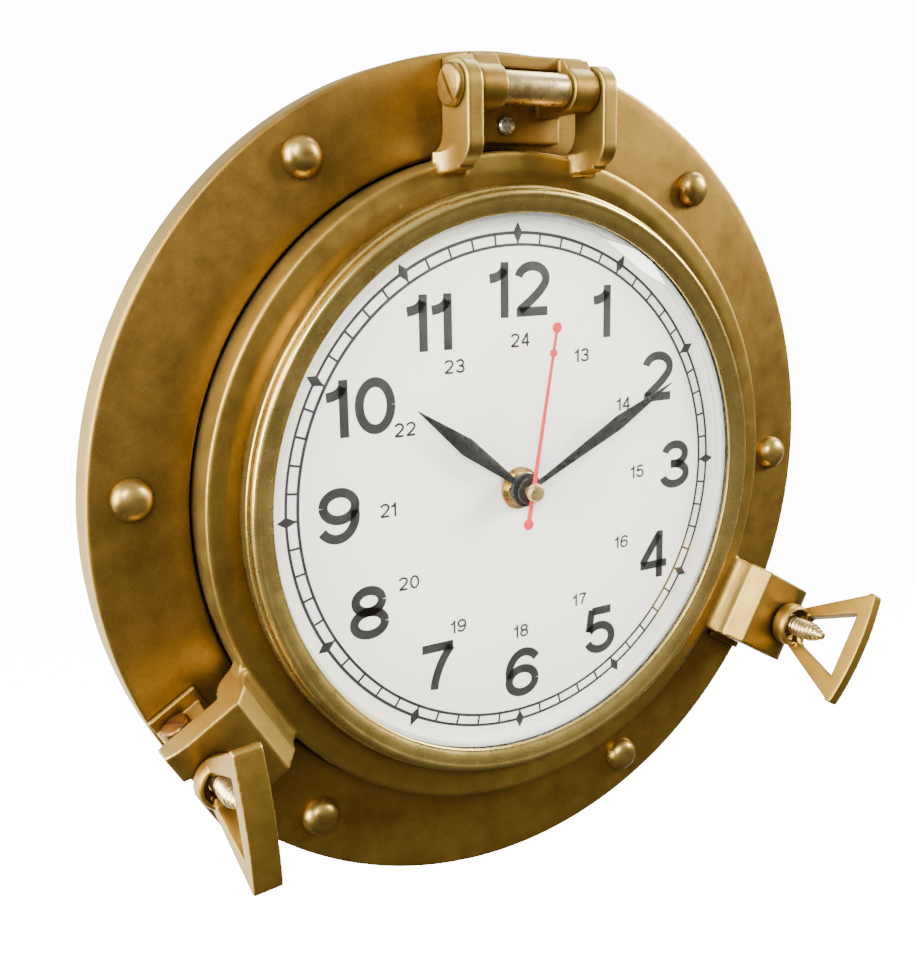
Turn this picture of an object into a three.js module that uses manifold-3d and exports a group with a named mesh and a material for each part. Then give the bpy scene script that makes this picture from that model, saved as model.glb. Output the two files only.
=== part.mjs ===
// A ship's deck clock in the form of a porthole: a wall flange, a hinged door ring that carries
// the glass, two swing bolts with loop nuts that clamp the door, and a quartz movement behind
// the dial. Millimetres. The model is drawn face-on (x right, y up, z out of the wall) and the
// last group turns it so that the finished part has +Z up and faces -Y, its back on the wall.
import * as THREE from 'three';
import { mergeVertices } from 'three/addons/utils/BufferGeometryUtils.js';
import Module from 'manifold-3d';

const wasm = await Module();
wasm.setup();

// ---- Driving dimensions ----
const GAP = 0.3;                  // clearance kept between neighbouring pieces
const FLANGE_R = 152.4;           // outer radius of the wall flange: a 12 inch clock
const FLANGE_T = 14.4;            // wall to the front of the flange
const FLANGE_WALL = 4.4;          // thickness of the casting's front wall
const DOOR_R = 118.6;             // outer radius of the door ring
const DOOR_BACK = 11.4;           // back of the door ring, down in its seat
const DOOR_FRONT = 26.8;          // front of the door ring's flat face
const DOOR_BORE_R = 103.2;        // bore of the door ring behind the lip
const DOOR_POCKET_R = 109;        // wider bore at the back, so the door swings clear of the collar
const DOOR_POCKET_TOP = 22.5;
const BEZEL_R = 107.1;            // foot of the bezel
const BEZEL_CREST = 33.9;         // highest point of the bezel
const LIP_R = 98;                 // inner edge of the bezel's lip
const LIP_BACK = 30.9;            // where the glass seats
const GLASS_R = 102.6;
const GLASS_T = 2.4;
const GLASS_RISE = 10.7;          // how far the convex glass bulges
const COLLAR_R = 102.2;           // collar of the case that carries the dial
const CAVITY_R = 93;              // space for the movement
const COVER_R = 96;               // rear cover
const COVER_T = 1.7;
const COVER_SCREW_R = 91;
const COVER_SCREW_ANGLES = [45, 135, 225, 315];
const KEYHOLE_Y = 62;             // centre of the keyhole's round end
const KEYHOLE_TOP = 74;
const DIAL_R = 98.6;
const DIAL_BACK = 23.6;
const DIAL_T = 1;
const DIAL_FRONT = DIAL_BACK + DIAL_T;
const RIVET_CIRCLE_R = 138.5;
const RIVET_ANGLES = [50, -2, -65, -125, 175, 123];
const SCREW_HOLE_R = 2.3;         // clearance holes of the bracket screws
const HINGE_Y = 138;              // hinge axis above the clock's centre
const HINGE_Z = 34;               // hinge axis out from the wall
const PIN_R = 3;
const EAR_INNER = 24;             // inner face of each door ear from the middle
const EAR_OUTER = 30;
const EAR_R = 8.5;                // rounded end of each ear
const KNUCKLE_INNER = 13.4;
const KNUCKLE_OUTER = 23.2;
const KNUCKLE_R = 7;
const PLATE_NEAR = 121.5;         // hinge bracket's base plate, from and to
const PLATE_FAR = 149;
const PLATE_T = 3.2;
const BRACKET_SCREW_Y = 127.5;
const CLAMP_ANGLES = { left: -149, right: -30 };
const CLAMP_R = 145;              // swing-bolt axis from the clock's centre
const CLAMP_SCREW_R = 129;
const PIVOT_Z = 22;               // swing-bolt pivot out from the wall
const CHEEK_INNER = 6;            // inner face of each bracket cheek
const CHEEK_OUTER = 13;
const BOLT_R = 4;
const BOLT_TIP_Z = 61;
const EYE_R = 6;
const LUG_FRONT = 40;             // seat of the loop nut on the door's lug
const LUG_HALF = 16;
const LUG_REACH = 9;              // how far the lug runs out past the bolt's axis
const LUG_SLOT = 4.8;             // half the width of the fork's slot
const NUT_R = 8.8;
const NUT_TOP = 47.5;
const LOOP_TOP = 76;              // far side of the nut's loop
const LOOP_HALF = 23.5;
const LOOP_T = { left: 9.4, right: 5 };     // the two nuts are cast by hand and differ
const LOOP_OUT = { left: -0.5, right: 6 };  // middle of the loop, outboard of the bolt's axis
const NUT_TURN = { left: -26, right: 0 };   // how far each nut is turned when tight
const MOVEMENT_SIZE = 56;
const MOVEMENT_BACK = 6.8;
const MOVEMENT_FRONT = 22.6;
const MOVEMENT_WALL = 1.2;
const HALF_CASE = MOVEMENT_SIZE / 2;
const TRAY_Y = -9;                // below this the movement holds the battery
const KNOB_X = 15;
const CELL_R = 6.7;
const CELL_Y = -18;
const CELL_Z = 14.2;
const ROTOR_X = -12;
const ROTOR_Y = 12.6;
const BUSH_R = 4;
const CENTRE_BORE_R = 4.4;
const HOUR_Z = 28.7;              // underside of each hand
const MINUTE_Z = 31.1;
const SECOND_Z = 33.7;
const HAND_T = 0.8;
const HOUR_TIP = 54.5;
const MINUTE_TIP = 74;
const SECOND_TIP = 59;
const HOUR_ANGLE = 143;           // the hands stand near nine minutes past ten
const MINUTE_ANGLE = 27;
const SECOND_ANGLE = 80;

const FINE = 60;                  // segments round the large rings
const MEDIUM = 24;
const COARSE = 12;
const HALF_TURN = Math.PI;
const QUARTER = Math.PI / 2;

// ---- Materials ----
const COLOURS = {
  bronze: ['#8e6426', 0.42, 0.85],
  brass: ['#c9a44e', 0.28, 1],
  steel: ['#c4c4c0', 0.3, 1],
  cover: ['#2b2a28', 0.5, 0.6],
  dial: ['#f1efe7', 0.55, 0],
  spacer: ['#cfd0cb', 0.6, 0.2],
  black: ['#101010', 0.35, 0.3],
  red: ['#c3202b', 0.4, 0.1],
  glass: ['#eef4f2', 0.03, 0],
  rubber: ['#1c1c1c', 0.85, 0],
  plastic: ['#1a1a1c', 0.5, 0],
  nylon: ['#e6e2d4', 0.5, 0],
  copper: ['#b5683a', 0.35, 0.9],
  board: ['#2f6b3a', 0.5, 0],
  cell: ['#3b6ea8', 0.4, 0.3],
};

function material(key) {
  const [color, roughness, metalness] = COLOURS[key];
  return new THREE.MeshStandardMaterial({ color, roughness, metalness });
}

// ---- Solids ----
// A closed triangle soup becomes a solid: shared corners are merged, collapsed triangles at
// the poles are dropped, and an inside-out body is turned outward.
function solid(geometry) {
  geometry.deleteAttribute('normal');
  geometry.deleteAttribute('uv');
  const merged = mergeVertices(geometry, 1e-4);
  const position = merged.attributes.position;
  const index = merged.index.array;
  const kept = [];
  let volume = 0;
  const [a, b, c] = [0, 0, 0].map(() => new THREE.Vector3());
  for (let i = 0; i < index.length; i += 3) {
    const [p, q, r] = [index[i], index[i + 1], index[i + 2]];
    if (p === q || q === r || r === p) continue;
    kept.push(p, q, r);
    a.fromBufferAttribute(position, p);
    b.fromBufferAttribute(position, q);
    c.fromBufferAttribute(position, r);
    volume += a.dot(b.cross(c));
  }
  const triVerts = new Uint32Array(kept);
  if (volume < 0) {
    for (let i = 0; i < triVerts.length; i += 3) {
      [triVerts[i], triVerts[i + 1]] = [triVerts[i + 1], triVerts[i]];
    }
  }
  const vertProperties = new Float32Array(position.array);
  return new wasm.Manifold(new wasm.Mesh({ numProp: 3, vertProperties, triVerts }));
}

// A profile of [radius, height] turned about the z axis.
function turned(profile, segments = MEDIUM) {
  const points = profile.map(([r, z]) => new THREE.Vector2(r, z));
  return solid(new THREE.LatheGeometry(points, segments).rotateX(QUARTER));
}

// The same for a ring, whose profile comes back to its first point.
function ring(profile, segments = MEDIUM) {
  return turned([...profile, profile[0]], segments);
}

// A round bar along z from one height to another.
function rod(radius, low, high, segments = MEDIUM) {
  return turned([[0, low], [radius, low], [radius, high], [0, high]], segments);
}

function tube(inner, outer, low, high, segments = MEDIUM) {
  return ring([[inner, low], [outer, low], [outer, high], [inner, high]], segments);
}

function block(low, high) {
  const size = low.map((value, i) => high[i] - value);
  const centre = low.map((value, i) => (high[i] + value) / 2);
  return solid(new THREE.BoxGeometry(...size).translate(...centre));
}

// A flat outline raised along z.
function raised(shape, low, high, curveSegments = 8) {
  const settings = { depth: high - low, bevelEnabled: false, curveSegments };
  return solid(new THREE.ExtrudeGeometry(shape, settings).translate(0, 0, low));
}

function outline(points) {
  return new THREE.Shape(points.map(([x, y]) => new THREE.Vector2(x, y)));
}

// An outline drawn in the (y, z) plane and raised along x.
function raisedAcross(shape, low, high, curveSegments = 8) {
  const settings = { depth: high - low, bevelEnabled: false, curveSegments };
  const geometry = new THREE.ExtrudeGeometry(shape, settings).translate(0, 0, low);
  return solid(geometry.rotateZ(QUARTER).rotateY(QUARTER));
}

// A round bar along x or y, centred on a point.
function crossRod(radius, low, high, [x, y, z], along, segments = MEDIUM) {
  const bar = rod(radius, low, high, segments);
  const turn = along === 'x' ? [0, 90, 0] : [-90, 0, 0];
  return bar.rotate(turn).translate([x, y, z]);
}

function polar(radius, degrees) {
  const angle = THREE.MathUtils.degToRad(degrees);
  return [radius * Math.cos(angle), radius * Math.sin(angle)];
}

const face = new THREE.Group();

// Puts a solid on the clock as a named mesh of its own.
function add(name, body, key, place = {}) {
  const { vertProperties, triVerts, numProp } = body.getMesh();
  const geometry = new THREE.BufferGeometry();
  const corners = new Float32Array((vertProperties.length / numProp) * 3);
  for (let i = 0; i < corners.length / 3; i += 1) {
    corners.set(vertProperties.subarray(i * numProp, i * numProp + 3), i * 3);
  }
  geometry.setAttribute('position', new THREE.BufferAttribute(corners, 3));
  geometry.setIndex(new THREE.BufferAttribute(new Uint32Array(triVerts), 1));
  geometry.computeVertexNormals();
  const mesh = new THREE.Mesh(geometry, material(key));
  mesh.name = name;
  mesh.position.set(...(place.at ?? [0, 0, 0]));
  mesh.rotation.z = THREE.MathUtils.degToRad(place.turn ?? 0);
  (place.on ?? face).add(mesh);
  return mesh;
}

// ---- The case ----
// One hollow casting: the wall flange, the seat of the door ring and the dial's collar.
function addCase() {
  const seat = DOOR_BACK - GAP;
  const profile = [
    [FLANGE_R, 0], [FLANGE_R, FLANGE_T - 2], [FLANGE_R - 0.6, FLANGE_T - 0.6],
    [FLANGE_R - 2, FLANGE_T], [DOOR_R + 0.9, FLANGE_T], [DOOR_R + 0.9, seat],
    [COLLAR_R, seat], [COLLAR_R, DIAL_BACK - GAP], [CAVITY_R, DIAL_BACK - GAP],
    [CAVITY_R, 8], [86, 8], [86, COVER_T + GAP], [COVER_R + GAP, COVER_T + GAP],
    [COVER_R + GAP, 0], [101, 0], [101, seat - 4], [115, seat - 4],
    [123, FLANGE_T - FLANGE_WALL], [FLANGE_R - 5, FLANGE_T - FLANGE_WALL], [FLANGE_R - 5, 0],
  ];
  let body = ring(profile, FINE);
  for (const angle of RIVET_ANGLES) {
    const [x, y] = polar(RIVET_CIRCLE_R, angle);
    body = body.subtract(rod(2.8, 0, FLANGE_T + 1, COARSE).translate([x, y, 0]));
  }
  for (const [x, y] of coverScrewPlaces()) {
    body = body.subtract(rod(1.8, 0, 9, COARSE).translate([x, y, 0]));
  }
  body = body.subtract(rod(SCREW_HOLE_R, 0, FLANGE_T + 1, COARSE).translate([0, BRACKET_SCREW_Y, 0]));
  for (const angle of Object.values(CLAMP_ANGLES)) {
    const [x, y] = polar(CLAMP_SCREW_R, angle);
    body = body.subtract(rod(SCREW_HOLE_R, 0, FLANGE_T + 1, COARSE).translate([x, y, 0]));
  }
  add('case_flange', body, 'bronze');
}

function coverScrewPlaces() {
  return COVER_SCREW_ANGLES.map((angle) => polar(COVER_SCREW_R, angle));
}

// Dome-headed rivets through the flange, headed over behind it.
function addRivets() {
  const back = FLANGE_T - FLANGE_WALL - GAP;
  const front = FLANGE_T + GAP;
  const profile = [
    [0, back - 1.3], [4.2, back - 1.3], [4.2, back], [2.5, back], [2.5, front], [6.9, front],
    [6.6, front + 1.7], [5.2, front + 3.4], [2.9, front + 4.5], [0, front + 4.9],
  ];
  RIVET_ANGLES.forEach((angle, i) => {
    const [x, y] = polar(RIVET_CIRCLE_R, angle);
    add(`rivet_${i + 1}`, turned(profile, COARSE), 'bronze', { at: [x, y, 0] });
  });
}

// A flat disc with a keyhole to hang the clock on a screw, and a hole for each fixing screw.
function addRearCover() {
  let body = rod(COVER_R, 0, COVER_T, FINE);
  body = body.subtract(rod(5, -1, COVER_T + 1, COARSE).translate([0, KEYHOLE_Y, 0]));
  body = body.subtract(block([-2.6, KEYHOLE_Y, -1], [2.6, KEYHOLE_TOP, COVER_T + 1]));
  for (const [x, y] of coverScrewPlaces()) {
    body = body.subtract(rod(1.9, -1, COVER_T + 1, COARSE).translate([x, y, 0]));
    body = body.subtract(rod(3.5, -1, 0.9, COARSE).translate([x, y, 0]));
  }
  add('rear_cover', body, 'cover');
  const profile = [[0, 0.05], [3.2, 0.05], [3.2, 0.6], [1.5, 0.6], [1.5, 7.4], [0, 7.4]];
  coverScrewPlaces().forEach(([x, y], i) => {
    add(`rear_cover_screw_${i + 1}`, turned(profile, COARSE), 'steel', { at: [x, y, 0] });
  });
}

// ---- The hinge ----
// Bracket screwed to the flange: a base, a wall behind the barrel and two knuckles.
function addHingeBracket() {
  const base = FLANGE_T + GAP;
  let body = block([-KNUCKLE_OUTER, PLATE_NEAR, base], [KNUCKLE_OUTER, PLATE_FAR, base + PLATE_T]);
  body = body.add(block([-KNUCKLE_OUTER, PLATE_FAR - 4.5, base],
    [KNUCKLE_OUTER, PLATE_FAR, HINGE_Z - 3]));
  for (const side of [-1, 1]) {
    const [low, high] = side < 0 ? [-KNUCKLE_OUTER, -KNUCKLE_INNER] : [KNUCKLE_INNER, KNUCKLE_OUTER];
    body = body.add(block([low, HINGE_Y - KNUCKLE_R, base + 1], [high, PLATE_FAR - 1, HINGE_Z]));
    body = body.add(crossRod(KNUCKLE_R, low, high, [0, HINGE_Y, HINGE_Z], 'x'));
  }
  const bore = crossRod(PIN_R + GAP, -40, 40, [0, HINGE_Y, HINGE_Z], 'x', COARSE);
  const screwHole = rod(SCREW_HOLE_R, base - 1, base + 5, COARSE).translate([0, BRACKET_SCREW_Y, 0]);
  add('hinge_bracket', body.subtract(bore).subtract(screwHole), 'bronze');
  addPanScrew('hinge_bracket_screw', [0, BRACKET_SCREW_Y], base + PLATE_T, 9);
}

// A cross-headed screw standing in a clearance hole.
function addPanScrew(name, [x, y], seat, length) {
  const top = seat + GAP;
  const profile = [
    [0, top - length], [2, top - length], [2, top], [3.2, top], [3.2, top + 1.2],
    [2.4, top + 2.1], [0, top + 2.3],
  ];
  let body = turned(profile, COARSE);
  body = body.subtract(block([-2, -0.4, top + 1.2], [2, 0.4, top + 3]));
  body = body.subtract(block([-0.4, -2, top + 1.2], [0.4, 2, top + 3]));
  add(name, body, 'steel', { at: [x, y, 0] });
}

// Pin with a slotted head at the left and a headed-over end at the right, in a loose barrel.
function addHingePin() {
  const headIn = -EAR_OUTER - GAP;
  const headOut = headIn - 2.4;
  const at = [0, HINGE_Y, HINGE_Z];
  let body = crossRod(PIN_R, headOut + 1, EAR_OUTER + 1.5, at, 'x', COARSE);
  body = body.add(crossRod(6.9, headOut, headIn, at, 'x'));
  body = body.add(crossRod(4.6, EAR_OUTER + GAP, EAR_OUTER + 1.6, at, 'x', COARSE));
  const slot = block([headOut - 1, -8, -0.6], [headOut + 1, 8, 0.6]).rotate([-35, 0, 0]);
  add('hinge_pin', body.subtract(slot.translate(at)), 'bronze');
  const barrel = tube(PIN_R + GAP, 5.5, -KNUCKLE_INNER + 0.6, KNUCKLE_INNER - 0.6);
  add('hinge_barrel', barrel.rotate([0, 90, 0]).translate(at), 'brass');
}

// ---- The door ----
function doorProfile() {
  return [
    [DOOR_R, DOOR_BACK], [DOOR_R, DOOR_FRONT - 1.3], [DOOR_R - 0.4, DOOR_FRONT - 0.4],
    [DOOR_R - 1.4, DOOR_FRONT], [112, DOOR_FRONT - 0.1], [BEZEL_R, DOOR_FRONT - 0.9],
    [BEZEL_R, 30.2], [BEZEL_R - 0.6, 30.9], [BEZEL_R - 1.3, 31], [BEZEL_R - 1.4, 32.8],
    [BEZEL_R - 2.4, BEZEL_CREST], [BEZEL_R - 3.5, BEZEL_CREST - 0.2], [LIP_R, LIP_BACK + 1],
    [LIP_R, LIP_BACK], [DOOR_BORE_R, LIP_BACK], [DOOR_BORE_R, DOOR_POCKET_TOP],
    [DOOR_POCKET_R, DOOR_POCKET_TOP], [DOOR_POCKET_R, DOOR_BACK],
  ];
}

// An ear of the hinge: a straight bar with a round end on the pin, footed on the ring.
function hingeEar(low, high) {
  const shape = new THREE.Shape();
  const under = HINGE_Z - EAR_R;
  shape.moveTo(107.6, 18);
  shape.lineTo(117.6, 18);
  shape.quadraticCurveTo(119, under, 126, under);
  shape.lineTo(HINGE_Y, under);
  shape.absarc(HINGE_Y, HINGE_Z, EAR_R, -QUARTER, QUARTER, false);
  shape.lineTo(119.5, HINGE_Z + EAR_R);
  shape.quadraticCurveTo(113, HINGE_Z + EAR_R - 0.5, 111, DOOR_FRONT + 0.6);
  shape.lineTo(109, DOOR_FRONT - 0.9);
  return raisedAcross(shape, low, high, 10);
}

// A forked lug that the swing bolt drops into. It rises from the ring in a hollow curve to a
// chamfered plate, and its foot spreads along the ring. Outboard of the bolt its front follows
// the sweep of the nut, so that the bolt can swing clear. Drawn along +x, then turned.
function clampLug() {
  const reach = LUG_FRONT - PIVOT_Z;
  const under = PIVOT_Z + 7.2;
  const edge = CLAMP_R + LUG_REACH;
  const shape = new THREE.Shape();
  shape.moveTo(112, 18);
  shape.lineTo(120, 19);
  shape.quadraticCurveTo(128, 21.5, 130, under);
  shape.lineTo(edge, under);
  shape.lineTo(edge, PIVOT_Z + Math.sqrt(reach ** 2 - LUG_REACH ** 2));
  shape.absarc(CLAMP_R, PIVOT_Z, reach, Math.acos(LUG_REACH / reach), QUARTER, false);
  shape.lineTo(126.4, LUG_FRONT);
  shape.lineTo(120.8, 34);
  shape.quadraticCurveTo(119.4, DOOR_FRONT + 0.6, 115, DOOR_FRONT - 0.2);
  shape.lineTo(112, DOOR_FRONT - 0.6);
  const settings = { depth: 2 * LUG_HALF, bevelEnabled: false, curveSegments: 8 };
  const geometry = new THREE.ExtrudeGeometry(shape, settings).translate(0, 0, -LUG_HALF);
  const foot = outline([[111, -23], [116, -19], [122, -LUG_HALF], [122, LUG_HALF], [116, 19],
    [111, 23]]);
  const lug = solid(geometry.rotateX(QUARTER)).add(raised(foot, 19, DOOR_FRONT - 0.4));
  const slot = block([CLAMP_R - 5, -LUG_SLOT, 18], [CLAMP_R + 20, LUG_SLOT, 45]);
  return lug.subtract(slot);
}

function addDoor() {
  let body = ring(doorProfile(), FINE);
  let ears = hingeEar(EAR_INNER, EAR_OUTER).add(hingeEar(-EAR_OUTER, -EAR_INNER));
  ears = ears.subtract(rod(DOOR_POCKET_R + 1, 0, DOOR_POCKET_TOP + 1, FINE));
  body = body.add(ears);
  for (const angle of Object.values(CLAMP_ANGLES)) {
    body = body.add(clampLug().rotate([0, 0, angle]));
  }
  const bore = crossRod(PIN_R + GAP, -40, 40, [0, HINGE_Y, HINGE_Z], 'x', COARSE);
  add('door_ring', body.subtract(bore), 'bronze');
}

// Convex glass held against the lip by a soft gasket and a snap ring.
function addGlass() {
  const edge = LIP_BACK - GAP;
  const steps = 4;
  const sphere = (GLASS_R ** 2 + GLASS_RISE ** 2) / (2 * GLASS_RISE);
  const rise = (r) => Math.sqrt(sphere ** 2 - r ** 2) - (sphere - GLASS_RISE);
  const radii = Array.from({ length: steps + 1 }, (_, i) => (GLASS_R * i) / steps);
  const back = radii.map((r) => [r, edge - GLASS_T + rise(r)]);
  const front = radii.map((r) => [r, edge + rise(r)]).reverse();
  const inLip = front.map(([r, z]) => [r, r > LIP_R - GAP ? Math.min(z, edge) : z]);
  const dome = turned([...back, ...inLip], FINE);
  const lipRoom = ring([[LIP_R - GAP, edge], [GLASS_R + 3, edge], [GLASS_R + 3, 50],
    [LIP_R - GAP, 50]], FINE);
  add('glass_pane', dome.subtract(lipRoom), 'glass');
  const gasketBack = edge - GLASS_T - GAP;
  add('glass_gasket', tube(99.4, 102.9, gasketBack - 0.8, gasketBack, FINE), 'rubber');
  const snapBack = gasketBack - 0.8 - GAP;
  add('glass_retaining_ring', tube(99.6, 102.9, snapBack - 1.6, snapBack, FINE), 'steel');
}

// ---- The clamps ----
// Each clamp is drawn along +x in a group that is turned to the clamp's place on the flange.
function addClamp(side) {
  const clamp = new THREE.Group();
  clamp.rotation.z = THREE.MathUtils.degToRad(CLAMP_ANGLES[side]);
  face.add(clamp);
  addClampBracket(side, clamp);
  addPivotScrew(side, clamp);
  addSwingBolt(side, clamp);
  addLoopNut(side, clamp);
}

// Two cheeks on a broad foot, with a tongue that is screwed to the flange.
function addClampBracket(side, clamp) {
  const base = FLANGE_T + GAP;
  const top = base + 2;
  const rim = CLAMP_R + EYE_R;
  const foot = CHEEK_OUTER + 5;
  let body = block([132.6, -foot, base], [rim, foot, top]);
  body = body.add(block([123.5, -5.5, base], [rim, 5.5, top]));
  for (const sign of [-1, 1]) {
    const [low, high] = sign < 0 ? [-CHEEK_OUTER, -CHEEK_INNER] : [CHEEK_INNER, CHEEK_OUTER];
    body = body.add(block([CLAMP_R - EYE_R - 4, low, base], [CLAMP_R, high, PIVOT_Z + 5.4]));
    body = body.add(block([CLAMP_R, low, base], [rim, high, PIVOT_Z + 0.6]));
    body = body.add(crossRod(EYE_R, low, high, [CLAMP_R, 0, PIVOT_Z + 0.6], 'y'));
  }
  body = body.subtract(crossRod(EYE_R + 1, -CHEEK_INNER, CHEEK_INNER, [CLAMP_R, 0, PIVOT_Z], 'y'));
  const bore = crossRod(3.1, -20, 20, [CLAMP_R, 0, PIVOT_Z], 'y', COARSE);
  const screwHole = rod(SCREW_HOLE_R, base - 1, top + 1, COARSE).translate([CLAMP_SCREW_R, 0, 0]);
  add(`clamp_bracket_${side}`, body.subtract(bore).subtract(screwHole), 'bronze', { on: clamp });
  const screw = clampBaseScrew(top);
  add(`clamp_bracket_screw_${side}`, screw, 'steel', { on: clamp, at: [CLAMP_SCREW_R, 0, 0] });
}

function clampBaseScrew(seat) {
  const top = seat + GAP;
  const profile = [[0, top - 9], [2, top - 9], [2, top], [3.6, top], [3.2, top + 1.4], [0, top + 1.7]];
  return turned(profile, COARSE);
}

// The pivot screw fills the cheeks' bores and stops at their inner faces: the bolt's eye is
// carried by the door, so the two sides of the pivot stay apart here.
function addPivotScrew(side, clamp) {
  const at = [CLAMP_R, 0, PIVOT_Z];
  const headIn = -CHEEK_OUTER - GAP;
  let body = crossRod(2.8, headIn - 1, -CHEEK_INNER - GAP, at, 'y', COARSE);
  body = body.add(crossRod(5, headIn - 2.4, headIn, at, 'y'));
  const slot = block([-8, headIn - 3.4, -0.6], [8, headIn - 1.4, 0.6]).rotate([0, 25, 0]);
  add(`pivot_screw_${side}`, body.subtract(slot.translate(at)), 'bronze', { on: clamp });
  const end = crossRod(2.8, CHEEK_INNER + GAP, CHEEK_OUTER + 1.6, at, 'y', COARSE);
  const nut = crossRod(4.6, CHEEK_OUTER + GAP, CHEEK_OUTER + 1.6, at, 'y', COARSE);
  add(`pivot_nut_${side}`, end.add(nut), 'bronze', { on: clamp });
}

// Eye, shank and pointed end of the swing bolt.
function addSwingBolt(side, clamp) {
  const at = [CLAMP_R, 0, PIVOT_Z];
  const halfEye = CHEEK_INNER - 1.3;
  const shank = turned([[0, PIVOT_Z], [BOLT_R, PIVOT_Z], [BOLT_R, BOLT_TIP_Z - 6.5],
    [1.6, BOLT_TIP_Z - 0.4], [0, BOLT_TIP_Z]], COARSE).translate([CLAMP_R, 0, 0]);
  const eye = crossRod(EYE_R, -halfEye, halfEye, at, 'y');
  const bore = crossRod(3.1, -halfEye - 1, halfEye + 1, at, 'y', COARSE);
  add(`swing_bolt_${side}`, eye.add(shank).subtract(bore), 'brass', { on: clamp });
}

// A nut whose two arms and end bar make a triangular finger loop.
function addLoopNut(side, clamp) {
  const low = LUG_FRONT + GAP;
  const outer = outline([[-9, 43], [-LOOP_HALF, LOOP_TOP - 5], [-LOOP_HALF + 1.6, LOOP_TOP - 2],
    [0, LOOP_TOP], [LOOP_HALF - 1.6, LOOP_TOP - 2], [LOOP_HALF, LOOP_TOP - 5], [9, 43]]);
  const inner = outline([[-5, 48], [5, 48], [15.4, LOOP_TOP - 7.2], [-15.4, LOOP_TOP - 7.2]]);
  outer.holes.push(inner);
  const settings = { depth: LOOP_T[side], bevelEnabled: false };
  const geometry = new THREE.ExtrudeGeometry(outer, settings);
  geometry.translate(0, 0, LOOP_OUT[side] - LOOP_T[side] / 2);
  const loop = solid(geometry.rotateX(QUARTER));
  const hub = turned([[0, low], [NUT_R, low], [NUT_R, NUT_TOP - 1.6], [NUT_R - 1.4, NUT_TOP],
    [6.4, NUT_TOP - 2.6], [0, NUT_TOP - 3]], 24);
  const bore = rod(BOLT_R + GAP, low - 1, NUT_TOP + 15, COARSE);
  const body = loop.add(hub).subtract(bore).rotate([0, 0, 90]);
  add(`loop_nut_${side}`, body, 'bronze', { on: clamp, at: [CLAMP_R, 0, 0], turn: NUT_TURN[side] });
}

// ---- Dial and hands ----
function addDial() {
  const dial = ring([[CENTRE_BORE_R, DIAL_BACK], [DIAL_R, DIAL_BACK], [DIAL_R, DIAL_FRONT],
    [CENTRE_BORE_R, DIAL_FRONT]], FINE);
  add('dial_plate', dial, 'dial');
  const low = DIAL_FRONT + GAP;
  add('dial_spacer_ring', tube(96.2, 98.5, low, 27.5, FINE), 'spacer');
  add('bush_gasket', tube(CENTRE_BORE_R, 9, MOVEMENT_FRONT + 0.2, DIAL_BACK - 0.2), 'rubber');
  add('bush_washer', tube(CENTRE_BORE_R, 7.9, DIAL_FRONT + 0.2, DIAL_FRONT + 1), 'brass');
  const hexagon = rod(6.6, DIAL_FRONT + 1.2, DIAL_FRONT + 3.4, 6);
  add('bush_nut', hexagon.subtract(rod(CENTRE_BORE_R, 0, 40)), 'brass');
}

// A lance hand: a narrow neck that widens to a shoulder and runs out to a long point.
function lance(tip, shoulder, half, boss, bore) {
  const blade = outline([[tip, 0], [tip * shoulder, half], [boss - 1, 1.1],
    [boss - 1, -1.1], [tip * shoulder, -half]]);
  return raised(blade, 0, HAND_T).add(rod(boss, 0, HAND_T, 24)).subtract(rod(bore, -1, 2, COARSE));
}

function addHands() {
  const hour = lance(HOUR_TIP, 0.56, 3.3, 6.2, 2.8);
  add('hour_hand', hour, 'black', { at: [0, 0, HOUR_Z], turn: HOUR_ANGLE });
  const minute = lance(MINUTE_TIP, 0.62, 2.8, 5, 1.8);
  add('minute_hand', minute, 'black', { at: [0, 0, MINUTE_Z], turn: MINUTE_ANGLE });
  const needle = outline([[SECOND_TIP, 0.4], [-11.7, 0.8], [-11.7, -0.8], [SECOND_TIP, -0.4]]);
  const dot = (x, r) => rod(r, 0, HAND_T, COARSE).translate([x, 0, 0]);
  let second = raised(needle, 0, HAND_T).add(dot(0, 2.6)).add(dot(SECOND_TIP, 1.8));
  second = second.add(dot(50, 1.5)).add(dot(-12, 1.9)).subtract(rod(0.9, -1, 2, COARSE));
  add('second_hand', second, 'red', { at: [0, 0, SECOND_Z], turn: SECOND_ANGLE });
  const top = SECOND_Z + HAND_T + GAP;
  add('second_hand_cap', turned([[0, top], [3.4, top], [3.4, top + 1.4], [2.6, top + 2.2],
    [0, top + 2.4]], 24), 'brass');
}

// ---- The quartz movement ----
function addMovementCase() {
  const split = MOVEMENT_BACK + 1.8;
  let body = block([-HALF_CASE, -HALF_CASE, split], [HALF_CASE, HALF_CASE, MOVEMENT_FRONT]);
  const inside = HALF_CASE - MOVEMENT_WALL;
  const ceiling = MOVEMENT_FRONT - MOVEMENT_WALL;
  body = body.subtract(block([-inside, TRAY_Y + 0.6, split - 1], [inside, inside, ceiling]));
  body = body.subtract(block([-inside, -inside, split - 1], [inside, TRAY_Y - 0.6, ceiling]));
  body = body.add(rod(BUSH_R, ceiling, DIAL_FRONT + 3.7)).subtract(rod(2.8, 0, 40));
  add('movement_case', body, 'plastic');
}

// The back plate of the movement, with an open tray for the battery and the setting knob's hole.
function addMovementBack() {
  const high = MOVEMENT_BACK + 1.5;
  let body = block([-HALF_CASE, -HALF_CASE, MOVEMENT_BACK], [HALF_CASE, HALF_CASE, high]);
  body = body.subtract(block([-26, -25.5, 0], [26, TRAY_Y - 1.4, 20]));
  body = body.subtract(rod(2.6, 0, 20, COARSE).translate([KNOB_X, 0, 0]));
  add('movement_back', body, 'plastic');
}

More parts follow.
